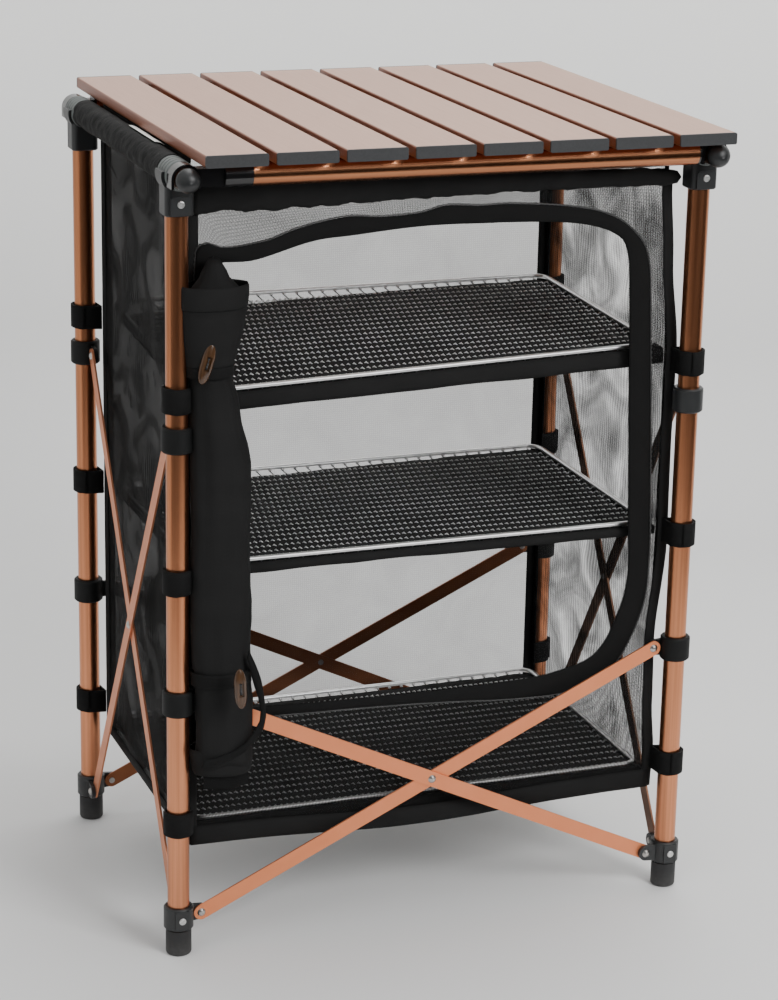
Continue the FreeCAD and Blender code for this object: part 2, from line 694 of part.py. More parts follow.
corners = [(side, end) for side in (LEFT, RIGHT) for end in (FRONT, REAR)]
export("side_rails", side_rail(LEFT), side_rail(RIGHT))
export("rail_rings", *[rail_ring(side, end) for side, end in corners])
export("ball_caps", *[ball_cap(side, end) for side, end in corners])

export("spreader_rails", spreader_tube(FRONT), spreader_tube(REAR))
fittings = []
for end in (FRONT, REAR):
    fittings.append(spreader_fitting(end, end, -end * SPREAD_PLUG_END, FITTING_L))
    fittings.append(spreader_fitting(end, -end, -end * SPREAD_RING_END, BAR_T))
export("spreader_fittings", *fittings)

cord_holes = [cord_run(end, CORD_HOLE_R) for end in (FRONT, REAR)]
for index in range(SLATS):
    export("slat_%d" % (index + 1), slat(index, cord_holes))
    export("slat_%d_caps" % (index + 1), *slat_caps(index))
export("elastic_cords", cord_run(FRONT, CORD_R), cord_run(REAR, CORD_R))

for name, z in SHELF_Z.items():
    export("shelf_" + name, *shelf(z))

export("mesh_walls", side_wall(LEFT), side_wall(RIGHT), back_wall())
export("front_surround", front_surround())
export("cloth_tiers", *[cloth_tier(z) for z in SHELF_Z.values()])
export("rail_sleeves", sleeve(LEFT), sleeve(RIGHT))
export("door_roll", door_roll())
export("toggle_upper", toggle(TOGGLE_ASIDE, UPPER_TIE))
export("toggle_lower", toggle(0, LOWER_TIE))
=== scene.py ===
import math

import bpy
from mathutils import Matrix, Vector, noise


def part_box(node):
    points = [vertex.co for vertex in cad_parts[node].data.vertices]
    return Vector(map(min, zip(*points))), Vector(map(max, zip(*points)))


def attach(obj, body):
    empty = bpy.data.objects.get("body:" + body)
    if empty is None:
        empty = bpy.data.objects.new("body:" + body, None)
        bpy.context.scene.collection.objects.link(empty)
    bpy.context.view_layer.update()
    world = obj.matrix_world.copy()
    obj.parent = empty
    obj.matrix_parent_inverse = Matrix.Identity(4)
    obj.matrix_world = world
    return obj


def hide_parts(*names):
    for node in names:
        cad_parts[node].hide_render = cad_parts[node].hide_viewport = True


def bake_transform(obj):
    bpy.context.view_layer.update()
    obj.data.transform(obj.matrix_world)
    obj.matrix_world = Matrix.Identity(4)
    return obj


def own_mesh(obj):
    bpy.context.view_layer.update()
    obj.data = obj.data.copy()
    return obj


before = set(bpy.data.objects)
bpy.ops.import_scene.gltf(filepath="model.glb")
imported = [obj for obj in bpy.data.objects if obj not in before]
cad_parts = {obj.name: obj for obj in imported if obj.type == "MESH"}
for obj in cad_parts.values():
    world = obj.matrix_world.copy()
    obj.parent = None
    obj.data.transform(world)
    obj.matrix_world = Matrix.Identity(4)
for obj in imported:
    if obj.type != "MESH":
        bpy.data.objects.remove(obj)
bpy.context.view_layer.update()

# ---- Camera ----
# A long lens on the front left of the table and a little above its top,
# tilted by about one degree.
VIEW_AZIMUTH, VIEW_HEIGHT, VIEW_TILT = math.radians(-20.38), math.radians(17.194), math.radians(1.168)
CAMERA_PLACE, SENSOR_WIDTH, FOCAL_LENGTH = (-0.96898, -2.64487, 1.27243), 36, 100.54
back = Vector((math.sin(VIEW_AZIMUTH) * math.cos(VIEW_HEIGHT),
               -math.cos(VIEW_AZIMUTH) * math.cos(VIEW_HEIGHT), math.sin(VIEW_HEIGHT)))
right = Vector((math.cos(VIEW_AZIMUTH), math.sin(VIEW_AZIMUTH), 0))
up = back.cross(right)
tilted_right = math.cos(VIEW_TILT) * right + math.sin(VIEW_TILT) * up
tilted_up = back.cross(tilted_right)
lens = bpy.data.cameras.new("camera")
lens.sensor_width, lens.lens = SENSOR_WIDTH, FOCAL_LENGTH
lens.clip_start, lens.clip_end = 0.1, 60
camera = bpy.data.objects.new("camera", lens)
bpy.context.scene.collection.objects.link(camera)
turned = Matrix((tilted_right, tilted_up, back)).transposed().to_4x4()
camera.matrix_world = Matrix.Translation(CAMERA_PLACE) @ turned
bpy.context.scene.camera = camera


# ---- Studio: floor, wall and soft light ----
# A pale grey painted floor that runs into a pale wall, one large soft lamp high
# on the right, a wide weak one on the left, one above, and an even sky.
def linear(code):
    """An sRGB hex colour as linear RGBA."""
    parts = [int(code[i:i + 2], 16) / 255 for i in (1, 3, 5)]
    return tuple(c / 12.92 if c <= 0.04045 else ((c + 0.055) / 1.055) ** 2.4 for c in parts) + (1,)


def add(tree, kind, inputs=None, **settings):
    """Adds a node, sets it up and links or fills its inputs."""
    made = tree.nodes.new(kind)
    for name, value in settings.items():
        setattr(made, name, value)
    for name, value in (inputs or {}).items():
        if isinstance(value, bpy.types.NodeSocket):
            tree.links.new(value, made.inputs[name])
        else:
            made.inputs[name].default_value = value
    return made


def reckon(tree, operation, *values, clamp=False):
    """One step of arithmetic on values and sockets."""
    return add(tree, "ShaderNodeMath", dict(enumerate(values)), operation=operation,
               use_clamp=clamp).outputs[0]


def ranged(tree, value, low, high, to_low=0.0, to_high=1.0):
    """A value between low and high, carried over to another range."""
    return add(tree, "ShaderNodeMapRange", {"Value": value, "From Min": low, "From Max": high,
                                            "To Min": to_low, "To Max": to_high}).outputs[0]


def speck(tree, scale, detail=2.0, stretch=None, distortion=0.0):
    """Noise that is fixed to the piece; stretch draws it out along an axis."""
    place = add(tree, "ShaderNodeTexCoord").outputs["Object"]
    if stretch:
        place = add(tree, "ShaderNodeMapping", {"Vector": place, "Scale": stretch}).outputs[0]
    return add(tree, "ShaderNodeTexNoise", {"Vector": place, "Scale": scale, "Detail": detail,
                                            "Distortion": distortion}).outputs["Fac"]


def height_on(tree):
    """The height of a place on the piece."""
    place = add(tree, "ShaderNodeTexCoord").outputs["Object"]
    return add(tree, "ShaderNodeSeparateXYZ", {"Vector": place}).outputs["Z"]


def mixed(tree, factor, first, second):
    """A mix of two colours, each a hex code or a node's colour."""
    first, second = (linear(each) if isinstance(each, str) else each for each in (first, second))
    return add(tree, "ShaderNodeMix", {"Factor": factor, "A": first, "B": second},
               data_type="RGBA").outputs["Result"]


def paint(tree, shader, factor, first, second):
    """Mixes two colours into the shader's base colour."""
    tree.links.new(mixed(tree, factor, first, second), shader.inputs["Base Color"])


def start_material(name, sockets):
    """A new material with a Principled shader; the constants go on its own sockets."""
    made = bpy.data.materials.new(name)
    made.use_nodes = True
    shader = made.node_tree.nodes["Principled BSDF"]
    for socket, value in sockets.items():
        shader.inputs[socket].default_value = value
    return made, made.node_tree, shader


def open_where(piece, kind, test):
    """Opens a mesh for an edit with only those of its edges or polygons selected that pass a test."""
    bpy.ops.object.mode_set(mode="EDIT")
    bpy.ops.mesh.select_all(action="DESELECT")
    bpy.ops.object.mode_set(mode="OBJECT")
    for each in getattr(piece.data, kind):
        each.select = test(each)
    bpy.ops.object.mode_set(mode="EDIT")


WALL, FLOOR, FLOOR_CLOUD, WALL_PAINT = "#E4E4E2", "#DEDEDD", "#D0D0D0", "#F6F6F4"
WALL_DISTANCE, WALL_HEIGHT, COVE, FLOOR_FRONT, FLOOR_WIDTH = 1.36, 5, 0.25, 8, 16
paper, tree, shader = start_material("painted studio floor", {"Roughness": 0.55, "Specular IOR Level": 0.2})
floor_tone = mixed(tree, speck(tree, 0.9), FLOOR, FLOOR_CLOUD)
paint(tree, shader, ranged(tree, height_on(tree), 0.0, 0.9), floor_tone, WALL_PAINT)
behind = add(tree, "ShaderNodeNewGeometry").outputs["Backfacing"]
tree.links.new(reckon(tree, "SUBTRACT", 1.0, behind), shader.inputs["Alpha"])
bpy.ops.mesh.primitive_plane_add(size=1, location=(0, 0, 0))
floor = bpy.context.object
floor.name = "floor"
bpy.ops.transform.resize(value=(FLOOR_WIDTH, FLOOR_FRONT + WALL_DISTANCE, 1))
bpy.ops.transform.translate(value=(0, (WALL_DISTANCE - FLOOR_FRONT) / 2, 0))
bpy.ops.object.transform_apply()
open_where(floor, "edges", lambda edge: all(floor.data.vertices[v].co.y > 0 for v in edge.vertices))
bpy.ops.mesh.extrude_region_move(TRANSFORM_OT_translate={"value": (0, 0, WALL_HEIGHT)})
open_where(floor, "edges", lambda edge: all(floor.data.vertices[v].co.y > 0 and floor.data.vertices[v].co.z < 1
                                            for v in edge.vertices))
bpy.ops.mesh.bevel(offset=COVE, segments=12)
bpy.ops.object.mode_set(mode="OBJECT")
floor.data.transform(Matrix.Rotation(VIEW_AZIMUTH, 4, "Z"))
floor.data.shade_smooth()
floor.data.materials.append(paper)

# Behind the camera the room is dark.  A black cloth stands in for it, seen only
# in reflections, so the tubes get their dark streaks and bright feet.
flag_cloth, tree, shader = start_material("black studio cloth", {
    "Base Color": linear("#1A1A1A"), "Roughness": 0.9, "Specular IOR Level": 0.0})
FLAG_RADIUS, FLAG_HEIGHT, FLAG_LIFT = 1.25, 1.4, 0.06
bpy.ops.mesh.primitive_cylinder_add(vertices=64, radius=FLAG_RADIUS, depth=FLAG_HEIGHT, end_fill_type="NOTHING",
                                    location=(0, 0, FLAG_HEIGHT / 2 + FLAG_LIFT))
flag = bpy.context.object
flag.name = "flag"
bpy.ops.object.transform_apply()
open_where(flag, "polygons", lambda face: face.center.y > -0.25 * FLAG_RADIUS)
bpy.ops.mesh.delete(type="FACE")
bpy.ops.object.mode_set(mode="OBJECT")
flag.data.materials.append(flag_cloth)
flag.visible_camera = flag.visible_diffuse = flag.visible_shadow = flag.visible_transmission = False

world = bpy.data.worlds.new("studio")
bpy.context.scene.world = world
world.use_nodes = True
sky = world.node_tree
sky.nodes.clear()
rays = add(sky, "ShaderNodeLightPath").outputs
seen = reckon(sky, "MAXIMUM", rays["Is Camera Ray"], rays["Is Glossy Ray"])
seen = reckon(sky, "MAXIMUM", seen, rays["Is Transmission Ray"])
glow = add(sky, "ShaderNodeBackground", {"Color": (1, 1, 1, 1), "Strength": 0.74})
plain = add(sky, "ShaderNodeBackground", {"Color": linear(WALL), "Strength": 1.0})
choice = add(sky, "ShaderNodeMixShader", {0: seen, 1: glow.outputs[0], 2: plain.outputs[0]})
add(sky, "ShaderNodeOutputWorld", {"Surface": choice.outputs[0]})

LAMP_AIM = Vector((0, 0, 0.45))
for name, place, size, power in (("key lamp", (1.3, -2.9, 2.2), 1.4, 105),
                                 ("fill lamp", (-2.6, -1.9, 1.5), 2.2, 22),
                                 ("top lamp", (0.5, 0.3, 3.0), 1.8, 42)):
    lamp = bpy.data.lights.new(name, "AREA")
    lamp.size, lamp.energy = size, power
    holder = bpy.data.objects.new(name, lamp)
    bpy.context.scene.collection.objects.link(holder)
    holder.location = place
    holder.rotation_euler = (LAMP_AIM - Vector(place)).to_track_quat("-Z", "Y").to_euler()


# ---- Legs, side rails and spreader rails ----
# Drawn aluminium tube, anodised in a rose copper.  Drawing leaves fine streaks
# along the tube, and the satin layer gives a soft long highlight.  The streaks
# also darken the colour as painted reflection streaks, and the legs are painted
# lighter at the foot and darker above: painted light and shade.
def finish(material, *names):
    """Gives CAD nodes a finish."""
    for name in names:
        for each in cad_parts[name].material_slots:
            each.material = material


def roughen(tree, shader, pattern, strength, depth=0.0002):
    """Lets a pattern stand out of the surface."""
    bump = add(tree, "ShaderNodeBump", {"Height": pattern, "Strength": strength, "Distance": depth})
    tree.links.new(bump.outputs[0], shader.inputs["Normal"])


def anodised_tube(name, low, high, dark, stretch, rough):
    """Drawn tube with one colour near the floor and another above, as painted light and shade, and
    darker streaks along it: drawing marks in the surface, painted reflection streaks in the colour.
    """
    made, tree, shader = start_material(name, {"Metallic": 1.0, "Roughness": rough})
    streak_and_reflection = speck(tree, 1.0, 3.0, stretch)
    # Painted light and shade by height; the streaks darken it further as painted reflection streaks.
    tone = mixed(tree, ranged(tree, height_on(tree), 0.12, 0.55), low, high)
    paint(tree, shader, ranged(tree, streak_and_reflection, 0.35, 0.75, 0.0, 0.55), tone, dark)
    roughen(tree, shader, streak_and_reflection, 0.12)
    return made


# The legs are painted lighter at the foot and darker higher up: painted light and shade.
finish(anodised_tube("anodised copper leg tube, painted light and shade", "#DC946E", "#C98660", "#94593A", (260, 260, 3), 0.3),
       "legs_front", "legs_rear")
finish(anodised_tube("anodised copper rail tube", "#B57A58", "#B57A58", "#7E4E36", (3, 260, 260), 0.24),
       "spreader_rails")
finish(anodised_tube("anodised copper side rail", "#A8704F", "#A8704F", "#7E4E36", (260, 3, 260), 0.3),
       "side_rails")


# ---- Flat bars of the scissors ----
# Flat steel strip with rounded edges, sprayed in a satin salmon copper.  The
# spray is even: only a faint cloud in its tone and a fine orange peel show.  The
# different tones of the bars are painted light and shade: lighter on the front and
# left bars, darker on the rear and right bars.
def speckled(name, sockets, first, second, scale, detail=2.0, grain=None):
    """A finish in two tones, mixed by fine noise; grain is the scale, detail, strength and depth of a second
    noise that roughens the surface."""
    made, tree, shader = start_material(name, sockets)
    paint(tree, shader, speck(tree, scale, detail), first, second)
    if grain:
        roughen(tree, shader, speck(tree, *grain[:2]), *grain[2:])
    return made


# One paint on every bar, each bar with its own tone of it: painted light on the front and left bars, painted
# shade on the rear and right bars.
for name, light, dark, bars in (
        ("sprayed copper front bar, painted light", "#EC966A", "#DE865C", ["brace_front"]),
        ("sprayed copper rear bar, painted shade", "#9A6242", "#8A5438", ["brace_rear"]),
        ("sprayed copper side bar, painted light", "#DC9470", "#C6805E", ["brace_left_rising", "brace_left_falling"]),
        ("sprayed copper bar in the shade", "#7E5A46", "#6A4A38",
         ["brace_right_rising", "brace_right_falling"])):
    finish(speckled(name, {"Metallic": 0.8, "Roughness": 0.45}, light, dark, 38.0, 4.0,
                    (900.0, 1.0, 0.08, 0.0003)), *bars)

# ---- Rivets ----
# Nickel-plated steel tube rivets, set with a domed head on both sides.
finish(speckled("nickel plated rivet", {"Metallic": 1.0, "Roughness": 0.28}, "#D5D2CE", "#A19B96", 420.0),
       "rivets_front", "rivets_rear", "rivets_left_rising", "rivets_right_rising", "rivet_left_falling",
       "rivet_right_falling")

# ---- Brackets, collars, head connectors, ball caps and end fittings ----
# Injection-moulded glass-filled nylon in charcoal: fixed brackets at the feet,
# sliding collars on the legs and the cradle heads that carry the rails.  The left
# collars and the front and rear collar sets get a darker copy: painted shade.
finish(speckled("moulded charcoal nylon", {"Roughness": 0.42, "IOR": 1.53}, "#151617", "#1F2122", 60.0, 3.0,
                (1400.0, 1.0, 0.25, 0.0002)),
       "brackets_front", "brackets_rear", "heads_front", "heads_rear", "collar_right_front", "collar_right_rear",
       "ball_caps")
finish(speckled("moulded glossy black nylon", {"Roughness": 0.16, "IOR": 1.53}, "#0C0C0D", "#161617", 90.0),
       "spreader_fittings")
# A darker, rougher copy of the charcoal nylon for most collars: painted shade.
finish(speckled("moulded charcoal nylon, painted shade", {"Roughness": 0.6, "Specular IOR Level": 0.25}, "#060707", "#0D0E0E",
                70.0), "collars_front", "collars_rear", "collar_left_front", "collar_left_rear")

# ---- Rail rings ----
# Soft grey thermoplastic rubber rings with three grooves, pushed over the rail
# so that the tube doesn't rattle in its cradle.
finish(speckled("grey thermoplastic rubber", {"Roughness": 0.6, "IOR": 1.5}, "#4A4E4D", "#646967", 240.0, 3.0),
       "rail_rings")

# ---- Feet ----
# Moulded black rubber cups pushed over the ends of the legs, with a little
# floor dust in the matt surface.
foot_rubber, tree, shader = start_material("moulded black rubber", {"Roughness": 0.62, "IOR": 1.52})
dust = reckon(tree, "MULTIPLY", speck(tree, 300.0, 4.0), ranged(tree, height_on(tree), 0.0, 0.02, 0.5, 0.05))
paint(tree, shader, dust, "#141415", "#5A5856")
finish(foot_rubber, "feet_front", "feet_rear")

# ---- Slats ----
# Hollow extruded aluminium boards with a fine brushed grain along the slat.  Faces
# that point up are painted a pale satin rose and the narrow edges a deeper copper:
# painted light on the tops and painted shade on the edges.
slat_coat, tree, shader = start_material("satin rose slat coat, painted light on top", {"Metallic": 0.35, "Roughness": 0.36})
brushed = speck(tree, 1.0, 2.0, (900, 12, 900))
facing = add(tree, "ShaderNodeSeparateXYZ", {"Vector": add(tree, "ShaderNodeNewGeometry").outputs["Normal"]})
# Faces that point up get the pale rose: painted light on the tops, painted shade on the edges.
painted_light_on_top = ranged(tree, facing.outputs["Z"], 0.75, 0.97)
paint(tree, shader, painted_light_on_top, "#7A4022", mixed(tree, brushed, "#BF947E", "#A57A64"))
roughen(tree, shader, brushed, 0.1)
SLAT_COUNT = 8
finish(slat_coat, *(f"slat_{number}" for number in range(1, SLAT_COUNT + 1)))

# ---- Slat caps ----
# Moulded ABS plugs that close the slat ends, with a fine spark-eroded grain.
finish(speckled("grained ABS cap", {"Roughness": 0.5, "IOR": 1.54}, "#1D1E20", "#303133", 520.0, 3.0,
                (520.0, 3.0, 0.3, 0.0002)), *(f"slat_{number}_caps" for number in range(1, SLAT_COUNT + 1)))

# ---- Screws ----
# Small zinc-plated Phillips screws that hold the head connectors and the foot
# brackets on the legs: a low domed head with a pressed cross.
MM = 0.001
zinc = speckled("zinc plated screw", {"Metallic": 1.0, "Roughness": 0.4}, "#F4F4F2", "#C0C0BF", 900.0)
SCREW_R, SCREW_RISE, SCREW_DOME, CROSS_L, CROSS_W, CROSS_D, CROSS_TURN = 3.6, 1.5, 0.9, 4.4, 1.0, 1.4, 0.5
SCREW_X, HEAD_SCREW_Z, FOOT_SCREW_Z = 269, 767, 40


def pick(piece):
    """Selects only this piece and makes it the active one."""
    bpy.ops.object.select_all(action="DESELECT")
    piece.select_set(True)
    bpy.context.view_layer.objects.active = piece


def cut_away(piece, tool):
    """Cuts the tool's shape out of the piece and removes the tool."""
    cut = piece.modifiers.new("cut", "BOOLEAN")
    cut.operation, cut.object, cut.solver = "DIFFERENCE", tool, "EXACT"
    pick(piece)
    bpy.ops.object.modifier_apply(modifier="cut")
    bpy.data.objects.remove(tool)


def smooth_below(piece, angle):
    """Smooth shading over all edges that turn by less than an angle."""
    pick(piece)
    bpy.ops.object.shade_smooth_by_angle(angle=math.radians(angle))


bpy.ops.mesh.primitive_cylinder_add(vertices=24, radius=SCREW_R * MM, depth=2 * SCREW_RISE * MM,
                                    location=(0, 0, 0))
screw = bpy.context.object
open_where(screw, "polygons", lambda face: face.normal.z > 0.9)
bpy.ops.mesh.bevel(offset=SCREW_DOME * MM, segments=3)
bpy.ops.object.mode_set(mode="OBJECT")
for turn in (0, math.pi / 2):
    bpy.ops.mesh.primitive_cube_add(size=1, location=(0, 0, SCREW_RISE * MM),
                                    rotation=(0, 0, turn + CROSS_TURN))
    wing = bpy.context.object
    wing.scale = (CROSS_L * MM, CROSS_W * MM, CROSS_D * MM)
    cut_away(screw, wing)
screw.data.materials.append(zinc)
screw.data.shade_smooth()
smooth_below(screw, 35)
for side, body, facing in (("front", "front_frame", -1), ("rear", "rear_frame", 1)):
    for across, across_name in ((-1, "left"), (1, "right")):
        for node, z in ((f"heads_{side}", HEAD_SCREW_Z), (f"brackets_{side}", FOOT_SCREW_Z)):
            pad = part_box(node)[0 if facing < 0 else 1].y
            copy = bpy.data.objects.new(f"screw_{node}_{across_name}", screw.data.copy())
            bpy.context.scene.collection.objects.link(copy)
            lean = Matrix.Rotation(facing * -math.pi / 2, 4, "X")
            copy.data.transform(Matrix.Translation((across * SCREW_X * MM, pad, z * MM)) @ lean)
            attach(copy, body)
bpy.data.objects.remove(screw)

# ---- Elastic cords ----
# Two round black elastic cords string the slats together.  They show as short
# taut stubs in the gaps, so each gap has its own pair.
braid, tree, shader = start_material("braided black elastic", {"Roughness": 0.7})
strands = add(tree, "ShaderNodeTexWave", {"Vector": add(tree, "ShaderNodeTexCoord").outputs["Object"],
                                          "Scale": 180.0, "Distortion": 1.0}, bands_direction="DIAGONAL")
paint(tree, shader, strands.outputs["Fac"], "#1B1B1C", "#3B3B3C")
CORD_R, CORD_SINK = 1.5 * MM, 3 * MM
cord_low, cord_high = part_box("elastic_cords")
cord_z = (cord_low.z + cord_high.z) / 2
for number in range(1, SLAT_COUNT):
    start_x, end_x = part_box(f"slat_{number}")[1].x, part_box(f"slat_{number + 1}")[0].x
    for side, y in (("front", cord_low.y + CORD_R), ("rear", cord_high.y - CORD_R)):
        middle = ((start_x + end_x) / 2, y, cord_z)
        bpy.ops.mesh.primitive_cylinder_add(vertices=12, radius=CORD_R, depth=end_x - start_x + 2 * CORD_SINK,
                                            location=middle, rotation=(0, math.pi / 2, 0))
        stub = bpy.context.object
        stub.name = f"elastic_{side}_{number}"
        open_where(stub, "polygons", lambda face: True)
        bpy.ops.mesh.bisect(plane_co=middle, plane_no=(1, 0, 0))
        bpy.ops.object.mode_set(mode="OBJECT")
        bpy.ops.object.transform_apply(location=True, rotation=True, scale=True)
        smooth_below(stub, 50)
        stub.data.materials.append(braid)
        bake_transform(stub)
        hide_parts("elastic_cords")

# ---- Wire shelves ----
# Chrome-plated welded shelves: a round frame wire, thin straight cross wires
# under it and crimped wires along it.  The plating is bright on the crowns.  The
# cross wires get a dark copy of the wire finish: painted shade under the shelf.
chrome = speckled("chrome plated wire", {"Metallic": 1.0, "Roughness": 0.3}, "#FFFFFF", "#DADADA", 160.0, 3.0)
# The cross wires get this dark copy of the wire finish: painted shade under the shelf.
wire_in_painted_shade = speckled("shelf wire, painted shade", {"Metallic": 0.9, "Roughness": 0.5}, "#4A4A4A", "#2A2A2A", 300.0)
SHELF_X, SHELF_Y, SHELF_CORNER, FRAME_WIRE = 245.5, 148, 14, 2.5
CROSS_PITCH, CROSS_R = 14.5, 0.6
ROW_PITCH, ROW_R, CRIMP, CRIMP_SIDE, CRIMP_RISE = 15.7, 0.85, 6.3, 1.4, 1.75


def wire_along(points, radius, sides=6, closed=False):
    """Corners and faces of a wire through points in mm; square to a frame carried along the wire."""
    count = len(points)
    corners, faces = [], []
    for index, point in enumerate(points):
        before = points[index - 1] if closed or index else point
        after = points[(index + 1) % count] if closed or index < count - 1 else point
        forward = (after - before).normalized()
        side = forward.cross(Vector((0, 0, 1)))
        side = side.normalized() if side.length > 0.01 else forward.cross(Vector((0, 1, 0))).normalized()
        over = side.cross(forward)
        for step in range(sides):
            turn = 2 * math.pi * step / sides
            corners.append((point + radius * (math.cos(turn) * side + math.sin(turn) * over)) * MM)
    for index in range(count if closed else count - 1):
        here, there = index * sides, (index + 1) % count * sides
        for step in range(sides):
            next_step = (step + 1) % sides
            faces.append((here + step, there + step, there + next_step, here + next_step))
    if not closed:
        faces.append(tuple(range(sides)))
        faces.append(tuple(range((count - 1) * sides, count * sides))[::-1])
    return corners, faces


def joined_mesh(name, parts, material):
    """One piece out of many lists of corners and faces."""
    corners, faces = [], []
    for part_corners, part_faces in parts:
        faces += [tuple(len(corners) + corner for corner in face) for face in part_faces]
        corners += part_corners
    mesh = bpy.data.meshes.new(name)
    mesh.from_pydata(corners, [], faces)
    mesh.materials.append(material)
    made = bpy.data.objects.new(name, mesh)
    bpy.context.scene.collection.objects.link(made)
    pick(made)
    open_where(made, "polygons", lambda face: True)
    bpy.ops.mesh.normals_make_consistent(inside=False)
    bpy.ops.object.mode_set(mode="OBJECT")
    mesh.shade_smooth()
    return made


def shelf_parts(z):
    """A shelf's frame wire with its bent corners and its crimped wires, and its straight cross wires."""
    loop = []
    for quarter, (x, y) in enumerate(((1, 1), (-1, 1), (-1, -1), (1, -1))):
        for step in range(7):
            turn = math.pi / 2 * (quarter + step / 6)
            loop.append(Vector((x * (SHELF_X - SHELF_CORNER) + SHELF_CORNER * math.cos(turn),
                                y * (SHELF_Y - SHELF_CORNER) + SHELF_CORNER * math.sin(turn), z)))
    parts, cross = [wire_along(loop, FRAME_WIRE, 14, closed=True)], []
    for number in range(-16, 17):
        x = number * CROSS_PITCH
        end = SHELF_Y - (2 if abs(x) < SHELF_X - SHELF_CORNER else 6)
        low = z - FRAME_WIRE - CROSS_R
        cross.append(wire_along([Vector((x, y, low + (0.9 if abs(y) == end else 0))) for y in
                                 (-end, -end + 3, 0, end - 3, end)], CROSS_R))
        for y in (-end + 1, end - 1):
            parts.append(wire_along([Vector((x, y - 1.5, low + 0.8)), Vector((x, y + 1.5, low + 0.8))], 1.5, 8))
    half = SHELF_X - FRAME_WIRE
    for number in range(-9, 9):
        y = number * ROW_PITCH / 1.02
        points, count = [], int(2 * half / CRIMP * 4)
        for step in range(count + 1):
            x = -half + 2 * half * step / count
            phase = 2 * math.pi * (x / CRIMP + 0.5 * (number % 2))
            points.append(Vector((x, y - CRIMP_SIDE * math.sin(phase), z - 2.9 + CRIMP_RISE * math.cos(phase))))
        parts.append(wire_along(points, ROW_R, 5))
    return parts, cross


SHELF_Z = {"top": 590, "mid": 400, "low": 130}
SHELF_BODY = {"top": "top_shelf", "mid": "middle_shelf", "low": "low_shelf"}
SHELF_TILT = {"top": (-16.0, 7.0), "mid": (0.0, 0.0), "low": (0.0, 0.0)}


def tilt_shelf(piece, level):
    """Drops the left front corner of a shelf's level and raises its rear; the slack cloth lets it tilt."""
    left_front, rear = SHELF_TILT[level]
    for corner in piece.data.vertices:
        back = min(1, max(0, (corner.co.y / MM + SHELF_Y) / (2 * SHELF_Y)))
        left = min(1, max(0, (SHELF_X - corner.co.x / MM) / (2 * SHELF_X)))
        corner.co.z += (rear * back + left_front * left * (1 - back)) * MM


for level, z in SHELF_Z.items():
    bright_parts, painted_shade_parts = shelf_parts(z)
    shelf = joined_mesh(f"wire_shelf_{level}", bright_parts, chrome)
    cross_wires = joined_mesh(f"cross_wires_{level}", painted_shade_parts, wire_in_painted_shade)
    for piece in (shelf, cross_wires):
        tilt_shelf(piece, level)
        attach(piece, SHELF_BODY[level])
    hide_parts(f"shelf_{level}")

# ---- Net walls ----
# Black polyester warp-knit netting with holes of about 2 mm.  The back and the
# sides are one wall sewn round the legs; the net is loose and slightly crinkled.
# Its folds are darkened as painted shade and it carries a painted sheen.
NET_PITCH = 2.4 * MM


def thread_waves(tree, cut, pitch):
    """A sine wave across the cloth's UV map for each thread direction."""
    parts = add(tree, "ShaderNodeSeparateXYZ", {"Vector": cut})
    return [reckon(tree, "SINE", reckon(tree, "MULTIPLY", parts.outputs[axis], 2 * math.pi / pitch))
            for axis in ("X", "Y")]


def netting(name, cover, thread_depth, painted_fold_shade, colour, painted_glint, ripple=0.0):
    """Netting drawn by its own UV map; cover is the share of the view that the threads close.
    Where two layers of mesh lie over each other, their threads make a wavy ripple.
    The fold depth closes the net further along its slack folds, as painted shade, and the
    glint colour is a lighter tone over the same folds, a painted sheen."""
    made, tree, shader = start_material(name, {"Roughness": 0.85, "Specular IOR Level": 0.15})
    cut = add(tree, "ShaderNodeTexCoord").outputs["UV"]
    net = reckon(tree, "MAXIMUM", *thread_waves(tree, cut, NET_PITCH))
    slack = add(tree, "ShaderNodeTexNoise", {"Vector": cut, "Scale": 14.0, "Detail": 3.0,
                                             "Distortion": 1.2}).outputs["Fac"]
    thread = ranged(tree, net, -0.6, 1.0, cover - thread_depth, cover + thread_depth)
    # The fold depth closes the net further in its slack folds: painted shade in the folds.
    closed = reckon(tree, "ADD", thread, ranged(tree, slack, 0.3, 0.7, -painted_fold_shade, painted_fold_shade), clamp=True)
    if ripple:
        bands = add(tree, "ShaderNodeTexWave", {"Vector": cut, "Scale": 58.0, "Distortion": 16.0, "Detail": 1.5,
                                                "Detail Scale": 0.22}, bands_direction="X")
        swing = ranged(tree, bands.outputs["Fac"], 0.0, 1.0, -ripple, ripple)
        closed = reckon(tree, "ADD", closed, swing, clamp=True)
    tree.links.new(closed, shader.inputs["Alpha"])
    # The glint colour is a painted sheen over the same folds.
    paint(tree, shader, slack, colour, painted_glint)
    return made


